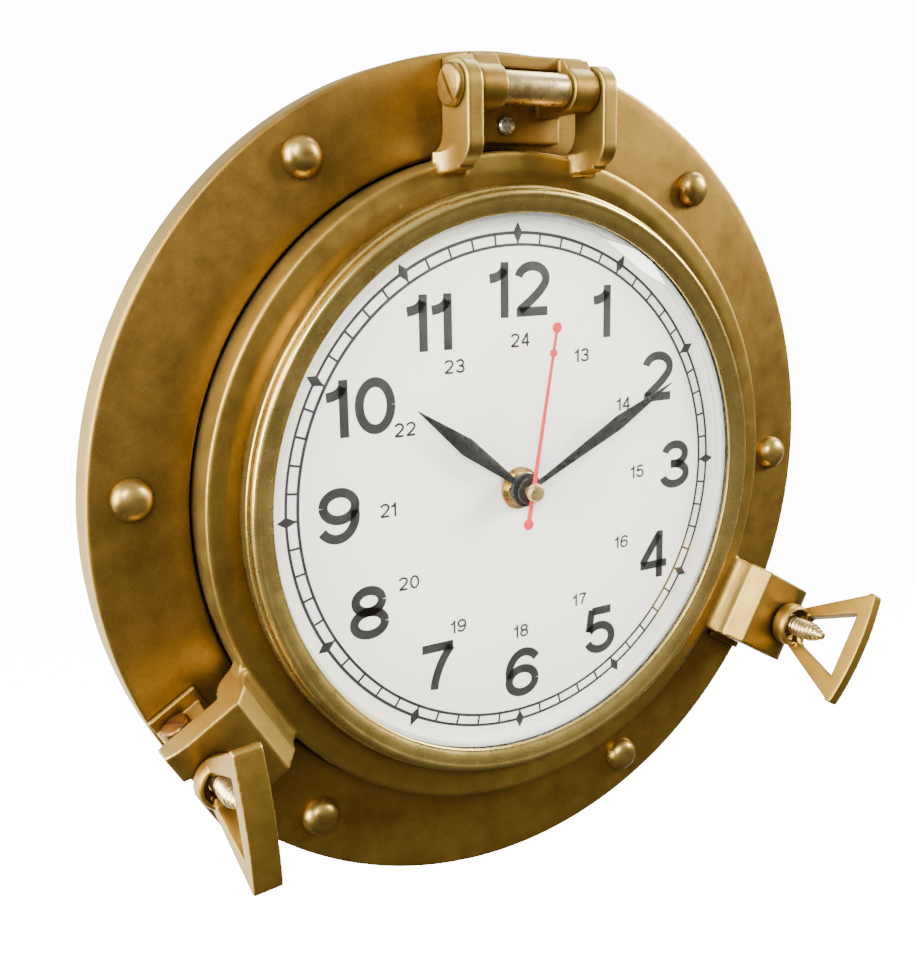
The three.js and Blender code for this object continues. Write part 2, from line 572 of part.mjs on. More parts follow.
function addElectrics() {
  const at = [0, CELL_Y, CELL_Z];
  const cell = crossRod(CELL_R, -23.6, 23, at, 'x', 16)
    .add(crossRod(2.7, 22, 24.6, at, 'x', COARSE));
  add('battery', cell, 'cell');
  const contact = (x) => block([x, CELL_Y - 5, 11], [x + 0.6, CELL_Y + 5, 19]);
  add('battery_contact_positive', contact(25), 'steel');
  add('battery_contact_negative', contact(-25.6), 'steel');
  add('circuit_board', block([-25, 14.5, 9.2], [-6, 26, 10.4]), 'board');
  add('coil', crossRod(3.4, -24, -8, [0, 22, 14.6], 'x', COARSE), 'copper');
  const stator = block([-24, 9, 12.6], [-5, 17, 13.6]);
  add('stator', stator.subtract(rod(2.5, 5, 20, COARSE).translate([ROTOR_X, ROTOR_Y, 0])), 'steel');
}

// A wheel on its own arbor.
function wheel(radius, low, high, arborR, arborLow, arborHigh) {
  return turned([[0, arborLow], [arborR, arborLow], [arborR, low], [radius, low], [radius, high],
    [arborR, high], [arborR, arborHigh], [0, arborHigh]], 16);
}

// A wheel fixed on a hollow shaft that stands out through the dial.
function pipeWheel(radius, low, high, inner, outer, top) {
  return ring([[inner, low], [radius, low], [radius, high], [outer, high], [outer, top],
    [inner, top]], 24);
}

function addTrain() {
  add('rotor', wheel(2, 12.2, 14, 0.5, 9.4, 16), 'steel', { at: [ROTOR_X, ROTOR_Y, 0] });
  add('intermediate_wheel', wheel(4, 15.2, 15.8, 0.5, 9.4, 18), 'nylon', { at: [-7.4, 5, 0] });
  add('third_wheel', wheel(5.6, 13.6, 14.3, 0.6, 9.4, 18.6), 'nylon', { at: [8, 6.4, 0] });
  add('second_wheel', wheel(5.6, 10.4, 11.2, 0.6, 9, SECOND_Z + HAND_T), 'nylon');
  const minuteTop = MINUTE_Z + HAND_T;
  add('minute_wheel', pipeWheel(6, 16.4, 17.1, 0.9, 1.5, minuteTop), 'nylon');
  add('hour_wheel', pipeWheel(7.4, 19.2, 19.9, 1.8, 2.5, HOUR_Z + HAND_T), 'nylon');
  add('motion_wheel', wheel(5, 17.6, 18.4, 0.8, 15.2, 20.6), 'nylon', { at: [11.6, -2.6, 0] });
  const knob = turned([[0, 4.4], [5.2, 4.4], [5.2, 6.4], [2.2, 6.4], [2.2, 12.6], [0, 12.6]], 24);
  add('setting_knob', knob, 'nylon', { at: [KNOB_X, 0, 0] });
}

addCase();
addRivets();
addRearCover();
addHingeBracket();
addHingePin();
addDoor();
addGlass();
addClamp('left');
addClamp('right');
addDial();
addHands();
addMovementCase();
addMovementBack();
addElectrics();
addTrain();

const clock = new THREE.Group();
face.rotation.x = QUARTER;
clock.add(face);

export default clock;
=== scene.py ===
import math

import bmesh
import bpy
from mathutils import Matrix, Vector


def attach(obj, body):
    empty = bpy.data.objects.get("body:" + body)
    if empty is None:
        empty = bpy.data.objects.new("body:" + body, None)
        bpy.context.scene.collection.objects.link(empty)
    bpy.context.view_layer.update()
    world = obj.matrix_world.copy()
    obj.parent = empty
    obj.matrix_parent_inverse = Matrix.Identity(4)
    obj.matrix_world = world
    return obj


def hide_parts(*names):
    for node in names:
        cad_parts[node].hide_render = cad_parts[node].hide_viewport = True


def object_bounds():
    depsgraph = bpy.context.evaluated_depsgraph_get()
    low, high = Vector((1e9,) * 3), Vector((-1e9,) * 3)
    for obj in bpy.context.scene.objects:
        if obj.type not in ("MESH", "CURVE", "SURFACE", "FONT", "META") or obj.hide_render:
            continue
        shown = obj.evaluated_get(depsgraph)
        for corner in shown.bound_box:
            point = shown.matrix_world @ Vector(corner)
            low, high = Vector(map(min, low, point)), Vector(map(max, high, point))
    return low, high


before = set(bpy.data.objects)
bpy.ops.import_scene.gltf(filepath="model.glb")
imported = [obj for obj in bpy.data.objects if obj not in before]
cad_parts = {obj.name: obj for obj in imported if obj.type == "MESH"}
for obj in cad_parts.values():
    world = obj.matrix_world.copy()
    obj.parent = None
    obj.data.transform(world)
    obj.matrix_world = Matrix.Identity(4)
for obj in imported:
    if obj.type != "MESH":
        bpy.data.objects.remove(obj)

cad_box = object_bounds()

# Shapes are drawn face-on in millimetres, as in the part's source: x right, y up, z out of the
# wall. put() turns such a point into the frame: metres, +Z up, the clock facing -Y.
MM = 0.001
TAU = 2 * math.pi


def put(point):
    x, y, z = point
    return Vector((x * MM, -z * MM, y * MM))


# ---- Sizes, in millimetres and degrees: the frame's own, then those of the added detail ----
# GAP is the clearance where one part seats on another.
GAP = 0.3
FLANGE_R, FLANGE_T = 152.4, 14.4
DOOR_R, DOOR_BACK, DOOR_FRONT, DOOR_BORE_R = 118.6, 11.4, 26.8, 103.2
DOOR_POCKET_R, DOOR_POCKET_TOP = 109, 22.5
BEZEL_R, BEZEL_CREST, LIP_R, LIP_BACK = 107.1, 33.9, 98, 30.9
GLASS_R, GLASS_T, GLASS_RISE = 102.6, 2.4, 10.7
DIAL_R, DIAL_BACK, DIAL_FRONT = 98.6, 23.6, 24.6
COLLAR_R, CAVITY_R, COVER_R = 102.2, 93, 96
HINGE_Y, HINGE_Z, PIN_R = 138, 34, 3
EAR_INNER, EAR_OUTER, EAR_R = 24, 30, 8.5
KNUCKLE_INNER, KNUCKLE_OUTER, KNUCKLE_R = 13.4, 23.2, 7
CLAMP_ANGLES = {"left": -149, "right": -30}
NUT_TURN = {"left": -26, "right": 0}
CLAMP_R, PIVOT_Z, CHEEK_INNER, CHEEK_OUTER = 145, 22, 6, 13
BOLT_R, BOLT_TIP_Z, EYE_R = 4, 61, 6
LUG_FRONT, LUG_HALF, LUG_REACH = 40, 16, 9
NUT_R, NUT_TOP, LOOP_TOP, LOOP_HALF = 8.8, 47.5, 76, 23.5
LOOP_T = {"left": 9.4, "right": 5}
LOOP_OUT = {"left": -0.5, "right": 6}
HOUR_Z, MINUTE_Z, SECOND_Z, HAND_T = 28.7, 31.1, 33.7, 0.8
HOUR_ANGLE, MINUTE_ANGLE, SECOND_ANGLE = 143, 27, 80
RIVETS = [(138.5, angle) for angle in (50, -2, -65, -125, 175, 123)]
RIVET_HEAD_R, RIVET_SHANK_R, PIN_HEAD_R, BARREL_R = 6.9, 4.2, 6.9, 5.5
BRACKET_LOW, BRACKET_TOP, BRACKET_T, BRACKET_SCREW_Y = 121.5, 149, 3.2, 127.5
PIVOT_R, PIVOT_HEAD_R, PIVOT_NUT_R, EYE_BORE_R = 2.8, 5.1, 4.6, 2.9
TRACK_R, TRACK_LINE = 90.8, 0.52
TRACK_INNER_R = TRACK_R * 0.957
SPACER_INNER_R, SPACER_R, SPACER_FRONT = 96.2, 98.5, 27.5
BUSH_HOLE_R, WASHER_R, BUSH_NUT_R, BUSH_NUT_T = 4.3, 7.9, 6.6, 2.2
HOUR_LENGTH, MINUTE_LENGTH, SECOND_LENGTH, SECOND_TAIL = 54.5, 74, 59, 12


# ---- Mesh helpers ----
# A shape is a pair: a list of points and a list of faces.
def joined(*shapes):
    points, faces = [], []
    for shape_points, shape_faces in shapes:
        start = len(points)
        points += shape_points
        faces += [[i + start for i in face] for face in shape_faces]
    return points, faces


def moved(shape, matrix):
    return [matrix @ Vector(point) for point in shape[0]], shape[1]


def spun(degrees):
    return Matrix.Rotation(math.radians(degrees), 4, "Z")


def shift(x, y, z):
    return Matrix.Translation((x, y, z))


def polar(radius, degrees):
    angle = math.radians(degrees)
    return radius * math.cos(angle), radius * math.sin(angle)


def softened(profile, radius, steps=4, closed=False):
    """The profile with each corner turned into a short curve."""
    points = [Vector(point) for point in profile]
    count = len(points)
    result = []
    for i, point in enumerate(points):
        if not closed and i in (0, count - 1):
            result.append(point)
            continue
        before, after = points[i - 1], points[(i + 1) % count]
        room = min((before - point).length, (after - point).length) * 0.45
        reach = min(radius, room)
        start = point + (before - point).normalized() * reach
        end = point + (after - point).normalized() * reach
        for k in range(steps + 1):
            t = k / steps
            result.append(start * (1 - t) ** 2 + point * 2 * t * (1 - t) + end * t ** 2)
    return result


def turned(profile, segments=96):
    """A profile of (radius, height) points turned about z."""
    points, rings = [], []
    for radius, height in profile:
        if radius < 1e-6:
            rings.append([len(points)])
            points.append(Vector((0, 0, height)))
            continue
        rings.append(range(len(points), len(points) + segments))
        for k in range(segments):
            angle = TAU * k / segments
            points.append(Vector((radius * math.cos(angle), radius * math.sin(angle), height)))
    return points, banded(rings)


def banded(rings):
    """Faces between each ring of points and the next. A ring of one point closes to a tip."""
    faces = []
    for low, high in zip(rings, rings[1:]):
        count = max(len(low), len(high))
        for k in range(count):
            n = (k + 1) % count
            if len(low) == 1:
                faces.append([low[0], high[n], high[k]])
            elif len(high) == 1:
                faces.append([low[k], low[n], high[0]])
            else:
                faces.append([low[k], low[n], high[n], high[k]])
    return faces


def ring(profile, segments=96):
    """A profile that closes on itself, turned about z."""
    points, faces = turned([*profile, profile[0]], segments)
    first = len(points) - segments
    kept = [[i - first if i >= first else i for i in face] for face in faces]
    return points[:first], kept


def wall(inner, outer, low, high):
    """The profile of a plain ring."""
    return [(inner, low), (outer, low), (outer, high), (inner, high)]


def washer(inner, outer, low, high, edge, steps=3, segments=64):
    """A plain ring with eased edges."""
    return ring(softened(wall(inner, outer, low, high), edge, steps, closed=True), segments)


def rod(radius, low, high, segments=48, edge=0.3):
    profile = [(0, low), (radius, low), (radius, high), (0, high)]
    return turned(softened(profile, edge), segments)


def across(shape, direction, centre=(0, 0, 0)):
    """Lays a shape that was turned about z along x or y."""
    angle = math.radians(90)
    turn = Matrix.Rotation(angle, 4, "Y") if direction == "x" else Matrix.Rotation(-angle, 4, "X")
    return moved(shape, shift(*centre) @ turn)


def lofted(sections):
    """A closed solid through sections that have the same number of points."""
    points = [Vector(point) for section in sections for point in section]
    count = len(sections[0])
    rings = [[count * k + i for i in range(count)] for k in range(len(sections))]
    return points, banded(rings) + [rings[0][::-1], rings[-1]]


def prism(outline, low, high):
    """An outline of (x, y) points raised from one height to another."""
    count = len(outline)
    points = [Vector((x, y, z)) for z in (low, high) for x, y in outline]
    faces = [list(range(count))[::-1], list(range(count, 2 * count))]
    faces += [[i, (i + 1) % count, (i + 1) % count + count, i + count] for i in range(count)]
    return points, faces


def upright(outline, low, high):
    """An outline of (radial, z) points raised sideways along y."""
    points, faces = prism(outline, low, high)
    return [Vector((x, z, y)) for x, y, z in points], faces


def sideways(outline, low, high):
    """An outline of (y, z) points raised along x."""
    points, faces = prism(outline, low, high)
    return [Vector((z, x, y)) for x, y, z in points], faces


def box(low, high):
    return prism([(low[0], low[1]), (high[0], low[1]), (high[0], high[1]), (low[0], high[1])],
                 low[2], high[2])


def oval(cx, cy, rx, ry, start, end, steps=28):
    spots = [math.radians(start + (end - start) * k / steps) for k in range(steps + 1)]
    return [(cx + rx * math.cos(a), cy + ry * math.sin(a)) for a in spots]


def arc(cx, cy, radius, start, end, steps=16):
    return oval(cx, cy, radius, radius, start, end, steps)


def curve(start, control, end, steps=10):
    """A smooth bend from start to end, pulled towards the control point."""
    a, b, c = Vector(start), Vector(control), Vector(end)
    spots = [k / steps for k in range(steps + 1)]
    return [tuple(a * (1 - t) ** 2 + b * 2 * t * (1 - t) + c * t ** 2) for t in spots]


def shade(mesh, sharp):
    mesh.shade_smooth()
    mesh.set_sharp_from_angle(angle=math.radians(sharp))


def clean(mesh):
    """Joins points that coincide and turns every face outwards."""
    work = bmesh.new()
    work.from_mesh(mesh)
    bmesh.ops.remove_doubles(work, verts=work.verts, dist=1e-6)
    bmesh.ops.recalc_face_normals(work, faces=work.faces)
    work.to_mesh(mesh)
    work.free()


def placed(name, data):
    thing = bpy.data.objects.new(name, data)
    bpy.context.scene.collection.objects.link(thing)
    return thing


def make(name, shape, sharp=40):
    points, faces = shape
    mesh = bpy.data.meshes.new(name)
    mesh.from_pydata([put(point) for point in points], [], faces)
    clean(mesh)
    shade(mesh, sharp)
    return placed(name, mesh)


def settle(piece, sharp=40):
    """Applies a piece's modifiers."""
    bpy.context.view_layer.update()
    graph = bpy.context.evaluated_depsgraph_get()
    mesh = bpy.data.meshes.new_from_object(piece.evaluated_get(graph))
    piece.modifiers.clear()
    piece.data = mesh
    mesh.name = piece.name
    shade(mesh, sharp)
    return piece


def cut(piece, shape):
    """Takes a shape away from a piece."""
    tool = make("cutter", shape)
    knife = piece.modifiers.new("cut", "BOOLEAN")
    knife.operation = "DIFFERENCE"
    knife.solver = "EXACT"
    knife.object = tool
    settle(piece)
    bpy.data.objects.remove(tool)
    return piece


CAST_WAVE = bpy.data.textures.new("cast_wave", "CLOUDS")
CAST_WAVE.noise_scale = 0.016
CAST_WAVE.noise_depth = 2


def add_wave(piece, depth):
    """The slight waviness that a sand mould leaves."""
    wave = piece.modifiers.new("uneven", "DISPLACE")
    wave.texture = CAST_WAVE
    wave.texture_coords = "GLOBAL"
    wave.strength = depth * MM
    wave.mid_level = 0.5


def cast(name, shapes, voxel, rounds, wave):
    """One sand casting: the shapes are fused, their corners rounded and their faces made a
    little uneven."""
    piece = make(name, joined(*shapes))
    fuse = piece.modifiers.new("fuse", "REMESH")
    fuse.mode = "VOXEL"
    fuse.voxel_size = voxel * MM
    soften = piece.modifiers.new("soften", "SMOOTH")
    soften.factor = 0.5
    soften.iterations = rounds
    add_wave(piece, wave)
    return settle(piece, 180)


# ---- Materials ----
class Tree:
    """A short way to write a node tree."""

    def __init__(self, owner):
        owner.use_nodes = True
        self.tree = owner.node_tree
        self.tree.nodes.clear()

    def new(self, kind, **settings):
        node = self.tree.nodes.new(kind)
        for key, value in settings.items():
            setattr(node, key, value)
        return node

    def link(self, source, target):
        self.tree.links.new(source, target)

    def feed(self, socket, value):
        """Links a node's output to a socket, or gives the socket a plain value."""
        if isinstance(value, bpy.types.NodeSocket):
            self.link(value, socket)
        else:
            socket.default_value = value

    def ramp(self, value, stops):
        node = self.new("ShaderNodeValToRGB")
        marks = node.color_ramp.elements
        while len(marks) < len(stops):
            marks.new(0.5)
        for mark, (position, colour) in zip(marks, stops):
            mark.position = position
            mark.color = (*colour, 1)
        self.link(value, node.inputs["Fac"])
        return node.outputs["Color"]

    def grey(self, value, low, high, out_low, out_high):
        node = self.new("ShaderNodeMapRange")
        for key, number in (("From Min", low), ("From Max", high), ("To Min", out_low),
                            ("To Max", out_high)):
            node.inputs[key].default_value = number
        self.link(value, node.inputs["Value"])
        return node.outputs["Result"]

    def mix_shaders(self, share, first, second):
        node = self.new("ShaderNodeMixShader")
        for socket, source in zip(node.inputs, (share, first, second)):
            self.link(source, socket)
        return node.outputs[0]


class Nodes(Tree):
    """A material's node tree, built round one principled shader."""

    def __init__(self, name):
        self.material = bpy.data.materials.new(name)
        super().__init__(self.material)
        self.output = self.new("ShaderNodeOutputMaterial")
        self.shader = self.new("ShaderNodeBsdfPrincipled")
        self.link(self.shader.outputs[0], self.output.inputs["Surface"])
        self.place = self.new("ShaderNodeTexCoord").outputs["Object"]

    def noise(self, size_mm, detail=3, roughness=0.55, stretch=(1, 1, 1)):
        """Noise whose features are about size_mm across."""
        spread = self.new("ShaderNodeMapping")
        spread.inputs["Scale"].default_value = stretch
        self.link(self.place, spread.inputs["Vector"])
        node = self.new("ShaderNodeTexNoise")
        node.inputs["Scale"].default_value = 1 / (size_mm * MM)
        node.inputs["Detail"].default_value = detail
        node.inputs["Roughness"].default_value = roughness
        self.link(spread.outputs["Vector"], node.inputs["Vector"])
        return node.outputs["Fac"]

    def blend(self, amount, first, second):
        """Mixes two colours. A colour mix takes its colours at sockets 6 and 7."""
        node = self.new("ShaderNodeMix", data_type="RGBA")
        for key, source in ((0, amount), (6, first), (7, second)):
            self.feed(node.inputs[key], source)
        return node.outputs[2]

    def bump(self, value, depth_mm, strength=1.0, after=None):
        node = self.new("ShaderNodeBump")
        node.inputs["Strength"].default_value = strength
        node.inputs["Distance"].default_value = depth_mm * MM
        self.link(value, node.inputs["Height"])
        if after is not None:
            self.link(after, node.inputs["Normal"])
        return node.outputs["Normal"]

    def set(self, **values):
        for key, value in values.items():
            self.feed(self.shader.inputs[key.replace("_", " ")], value)
        return self.material


def antique(name, dark, mid, light=None, rough=(0.36, 0.48), grain=0.03, sides=0.5):
    """Satin antique-brass finish: mottled colour and a sandy grain. With a light colour it also
    has painted shade in its recesses, rubbed edges that are lightened partly as a painted
    highlight, and painted light on the sides that turn away from the front and back."""
    n = Nodes(name)
    cloud = n.ramp(n.noise(26, 5, 0.62), [(0.3, dark), (0.5, mid), (0.74, mid)])
    soft = n.blend(0.5, cloud, (*mid, 1))
    speck = n.grey(n.noise(0.7, 4, 0.75), 0.35, 0.68, 0.0, 0.45 if light else 0.15)
    colour = n.blend(speck, soft, (*dark, 1))
    if light:
        # Painted shade: the colour darkens towards a dim brown where ambient occlusion finds close
        # surfaces, in recesses and between parts.
        recess = n.new("ShaderNodeAmbientOcclusion", samples=8)
        recess.inputs["Distance"].default_value = 9 * MM
        unshaded_share = n.grey(recess.outputs["AO"], 0.3, 0.9, 0.0, 1.0)
        painted_shade = [channel * 0.35 for channel in dark]
        colour = n.blend(unshaded_share, (*painted_shade, 1), colour)
        # Painted light: faces whose normal turns away from the clock's front and back are blended
        # towards the light colour, as far as sides sets.
        geometry = n.new("ShaderNodeNewGeometry")
        facing = n.new("ShaderNodeSeparateXYZ")
        n.link(geometry.outputs["True Normal"], facing.inputs[0])
        flat = n.new("ShaderNodeMath", operation="ABSOLUTE")
        n.link(facing.outputs["Y"], flat.inputs[0])
        painted_side_light = n.grey(flat.outputs[0], 0.35, 0.75, sides, 0.0)
        colour = n.blend(painted_side_light, colour, (*light, 1))
        # Rubbed edges: convex edges found by pointiness are lightened. The same lightening also serves
        # as a painted highlight along the edges.
        edge_wear_and_highlight = n.grey(geometry.outputs["Pointiness"], 0.515, 0.575, 0.0, 0.3)
        colour = n.blend(edge_wear_and_highlight, colour, (*light, 1))
    wear = n.noise(9, 4, 0.62)
    roughness = n.grey(wear, 0.3, 0.7, *rough)
    sand = n.bump(n.noise(0.5, 5, 0.7), grain, 0.9)
    pits = n.bump(n.noise(4.5, 3, 0.5), 0.06, 0.5, sand)
    return n.set(Base_Color=colour, Metallic=0.94, Roughness=roughness, Normal=pits)


def turned_metal(name, colour, dark, rough=(0.2, 0.36), scratch=0.012):
    """Metal with fine tool marks round the clock's axis and a little tarnish."""
    n = Nodes(name)
    tone = n.ramp(n.noise(16, 4, 0.6), [(0.3, dark), (0.6, colour)])
    fine = n.noise(0.35, 3, 0.6)
    stained = n.blend(n.grey(fine, 0.4, 0.8, 0.0, 0.3), tone, (*dark, 1))
    lines = n.noise(0.5, 2, 0.5, stretch=(1, 5, 1))
    roughness = n.grey(n.noise(4, 4, 0.6), 0.3, 0.7, *rough)
    return n.set(Base_Color=stained, Metallic=0.95, Roughness=roughness,
                 Normal=n.bump(lines, scratch, 0.7))


def coated(name, colour, rough=0.4, metallic=0.0, fleck=0.12, texture_mm=0.6, depth=0.01):
    """Paint, print or moulded plastic: slightly mottled, with a faint skin texture."""
    n = Nodes(name)
    darker = tuple(channel * (1 - fleck) for channel in colour)
    tone = n.ramp(n.noise(9, 4, 0.6), [(0.3, darker), (0.7, colour)])
    roughness = n.grey(n.noise(3, 3, 0.6), 0.3, 0.7, rough * 0.85, min(1, rough * 1.2))
    return n.set(Base_Color=tone, Metallic=metallic, Roughness=roughness,
                 Normal=n.bump(n.noise(texture_mm, 3, 0.5), depth, 0.6))


def clear_glass(name):
    """Clear glass that lets the lamps through to the dial behind it."""
    n = Nodes(name)
    n.set(Base_Color=(0.98, 0.995, 0.99, 1), Roughness=0.015, IOR=1.45, Transmission_Weight=1.0)
    smear = n.bump(n.noise(60, 2, 0.4), 0.02, 0.3)
    n.link(smear, n.shader.inputs["Normal"])
    through = n.new("ShaderNodeBsdfTransparent")
    path = n.new("ShaderNodeLightPath")
    mix = n.mix_shaders(path.outputs["Is Shadow Ray"], n.shader.outputs[0], through.outputs[0])
    n.link(mix, n.output.inputs["Surface"])
    return n.material


BRONZE = antique("antique_bronze", (0.16, 0.082, 0.014), (0.32, 0.188, 0.036), (0.56, 0.41, 0.11))
DOOR_BRONZE = antique("door_bronze", (0.19, 0.105, 0.018), (0.37, 0.235, 0.05), (0.58, 0.43, 0.125),
                      rough=(0.33, 0.46))
LOOP_BRONZE = antique("loop_bronze", (0.28, 0.155, 0.026), (0.44, 0.275, 0.052), (0.70, 0.50, 0.14),
                      rough=(0.34, 0.46), sides=0.0)
BEZEL_BRASS = antique("bezel_brass", (0.36, 0.24, 0.055), (0.58, 0.42, 0.13), rough=(0.22, 0.34),
                      grain=0.014)
HEAD_BRONZE = turned_metal("head_bronze", (0.48, 0.33, 0.09), (0.24, 0.14, 0.03), (0.26, 0.4))
DARK_BRONZE = turned_metal("dark_bronze", (0.20, 0.10, 0.035), (0.09, 0.045, 0.015), (0.26, 0.4))
BRASS = turned_metal("bright_brass", (0.83, 0.63, 0.29), (0.48, 0.32, 0.11))
STEEL = turned_metal("plated_steel", (0.76, 0.76, 0.74), (0.45, 0.45, 0.44), (0.22, 0.34))
DIAL_WHITE = coated("dial_white", (0.96, 0.94, 0.885), 0.5, fleck=0.02, texture_mm=1.2, depth=0.004)
SPACER_GREY = coated("spacer_grey", (0.70, 0.71, 0.69), 0.45, fleck=0.08)
PRINT_BLACK = coated("print_black", (0.012, 0.012, 0.014), 0.45, fleck=0.3)
HAND_BLACK = coated("hand_black", (0.014, 0.014, 0.015), 0.28, fleck=0.3)
HAND_RED = coated("hand_red", (0.62, 0.018, 0.03), 0.35, fleck=0.15)
RUBBER = coated("black_rubber", (0.02, 0.02, 0.02), 0.8, fleck=0.3)
COVER_BLACK = coated("cover_powder_coat", (0.035, 0.034, 0.032), 0.55, metallic=0.1, fleck=0.3,
                     texture_mm=0.5, depth=0.05)
PLASTIC = coated("moulded_plastic", (0.022, 0.022, 0.024), 0.45, fleck=0.25)
NYLON = coated("natural_nylon", (0.78, 0.75, 0.65), 0.45, fleck=0.08)
COPPER = turned_metal("winding_copper", (0.72, 0.33, 0.15), (0.42, 0.16, 0.06))
BOARD = coated("circuit_resin", (0.03, 0.17, 0.06), 0.4, fleck=0.35)
CELL = coated("battery_sleeve", (0.05, 0.13, 0.30), 0.35, metallic=0.2, fleck=0.15)
GLASS = clear_glass("clear_glass")


def finish_piece(piece, material, body, slot, *nodes):
    piece.data.materials.clear()
    piece.data.materials.append(material)
    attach(piece, body)
    if nodes:
        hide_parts(*nodes)
    return piece


# ---- The case ----
def case_profile():
    """The casting's section: the flange, the door's recess, the collar under the dial, the
    cavity with its rear opening, and the hollow back."""
    seat, recess = DOOR_BACK - GAP, DOOR_R + 0.9
    shelf, opening, cover_seat, hub = 8, 86, 2, 101
    hollow, rim = 10, FLANGE_R - 5
    return [
        (FLANGE_R, 0), (FLANGE_R, FLANGE_T), (recess, FLANGE_T), (recess, seat),
        (COLLAR_R, seat), (COLLAR_R, DIAL_BACK - GAP), (CAVITY_R, DIAL_BACK - GAP),
        (CAVITY_R, shelf), (opening, shelf), (opening, cover_seat), (COVER_R + GAP, cover_seat),
        (COVER_R + GAP, 0), (hub, 0), (hub, seat - 4), (115, seat - 4), (123, hollow),
        (rim, hollow), (rim, 0),
    ]


def dense(profile, longest):
    """Adds points to a closed profile so that no stretch is longer than the given length."""
    result = []
    for start, end in zip(profile, [*profile[1:], profile[0]]):
        start, end = Vector(start), Vector(end)
        steps = max(1, math.ceil((end - start).length / longest))
        result += [start.lerp(end, k / steps) for k in range(steps)]
    return result


def make_case():
    profile = dense(softened(case_profile(), 1.5, 5, closed=True), 4)
    flange = make("case_casting", ring(profile, 300))
    add_wave(flange, 0.14)
    settle(flange, 50)
    finish_piece(flange, BRONZE, "case", "cast_bronze", "case_flange")
    make_rivets()


def make_rivets():
    dome = [(RIVET_HEAD_R, -1), (RIVET_HEAD_R, 0.4), (6.75, 1.5), (6.1, 2.9), (4.9, 4.1), (3.3, 4.85),
            (1.6, 5.2), (0, 5.25)]
    dome = [(0, FLANGE_T - 1)] + [(r, FLANGE_T + z) for r, z in dome]
    tail = [(0, 6), (2, 6.2), (3.6, 7), (RIVET_SHANK_R, 8.6), (RIVET_SHANK_R, FLANGE_T - 4),
            (0, FLANGE_T - 4)]
    for i, (radius, angle) in enumerate(RIVETS):
        x, y = polar(radius, angle)
        head = joined(turned(softened(dome, 0.8, 3), 48), turned(softened(tail, 0.6, 3), 32))
        rivet = make(f"rivet_head_{i + 1}", moved(head, shift(x, y, 0)), 50)
        finish_piece(rivet, HEAD_BRONZE, "case", "turned_bronze", f"rivet_{i + 1}")


def soft_edges(name, material, width=0.3):
    """Keeps a CAD node and gives it eased edges and a finish."""
    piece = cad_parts[name]
    ease = piece.modifiers.new("ease", "BEVEL")
    ease.width = width * MM
    ease.segments = 3
    ease.limit_method = "ANGLE"
    ease.angle_limit = math.radians(40)
    piece.data.materials.clear()
    piece.data.materials.append(material)
    return piece


# ---- The hinge ----
def make_hinge_bracket():
    base = FLANGE_T + GAP
    shapes = [
        box((-KNUCKLE_OUTER, BRACKET_LOW, base), (KNUCKLE_OUTER, BRACKET_TOP, base + BRACKET_T)),
        box((-KNUCKLE_OUTER, BRACKET_TOP - 4.5, base), (KNUCKLE_OUTER, BRACKET_TOP, HINGE_Z - 3)),
    ]
    for low, high in ((-KNUCKLE_OUTER, -KNUCKLE_INNER), (KNUCKLE_INNER, KNUCKLE_OUTER)):
        knuckle = [(HINGE_Y - KNUCKLE_R, base + 1), (BRACKET_TOP - 1, base + 1),
                   (BRACKET_TOP - 1, HINGE_Z)]
        knuckle += arc(HINGE_Y, HINGE_Z, KNUCKLE_R, 20, 180)
        shapes.append(sideways(knuckle, low, high))
    bracket = cast("hinge_bracket_casting", shapes, voxel=0.4, rounds=3, wave=0.08)
    finish_piece(bracket, BRONZE, "case", "cast_bronze", "hinge_bracket")
    make_bracket_screw(base + BRACKET_T + GAP)


def make_bracket_screw(top):
    head = [(0, 9), (2, 9), (2, top), (3.2, top), (3.2, top + 0.8), (2.6, top + 1.8),
            (1.4, top + 2.3), (0, top + 2.4)]
    screw = make("bracket_screw_head", moved(turned(softened(head, 0.5, 3), 32),
                                             shift(0, BRACKET_SCREW_Y, 0)), 40)
    for half_x, half_y in ((2, 0.35), (0.35, 2)):
        cut(screw, box((-half_x, BRACKET_SCREW_Y - half_y, top + 1.2),
                       (half_x, BRACKET_SCREW_Y + half_y, top + 4)))
    finish_piece(screw, STEEL, "case", "steel", "hinge_bracket_screw")


def make_hinge_pin():
    at = (0, HINGE_Y, HINGE_Z)
    left = -EAR_OUTER - GAP
    stem = [(0, left - 1), (PIN_R, left - 1), (PIN_R, EAR_OUTER + 0.2), (4.6, EAR_OUTER + 0.2),
            (4.6, EAR_OUTER + 0.9), (3, EAR_OUTER + 1.6), (0, EAR_OUTER + 1.7)]
    head = [(0, left), (PIN_HEAD_R, left), (PIN_HEAD_R, left - 1.7), (PIN_HEAD_R - 0.7, left - 2.4),
            (0, left - 2.6)]
    pin = make("hinge_pin_turned", across(turned(softened(stem, 0.3), 40), "x", at), 40)
    cap = make("hinge_pin_head", across(turned(softened(head, 0.35), 64), "x", at), 40)
    tilt = Matrix.Rotation(math.radians(-35), 4, "X")
    slot = box((-1.5, -9, -0.65), (1.5, 9, 0.65))
    cut(cap, moved(slot, shift(left - 2.9, HINGE_Y, HINGE_Z) @ tilt))
    finish_piece(pin, HEAD_BRONZE, "door", "turned_bronze", "hinge_pin")
    finish_piece(cap, HEAD_BRONZE, "door", "turned_bronze")
    half = KNUCKLE_INNER - 0.6
    tube = washer(PIN_R + 0.2, BARREL_R, -half, half, 0.5, 4)
    barrel = make("hinge_barrel_turned", across(tube, "x", at), 40)
    finish_piece(barrel, BRASS, "door", "brass", "hinge_barrel")


# ---- The door ----
def ear_outline():
    under = HINGE_Z - EAR_R
    outline = [(111, 18), (117.6, 18)]
    outline += curve((118.4, 21), (120, under), (126, under))
    outline += arc(HINGE_Y, HINGE_Z, EAR_R, -90, 90)
    outline += curve((119.5, HINGE_Z + EAR_R), (113, HINGE_Z + EAR_R - 0.5), (111, DOOR_FRONT + 0.6))
    return outline + [(110.4, DOOR_FRONT - 0.6), (110.4, 24)]


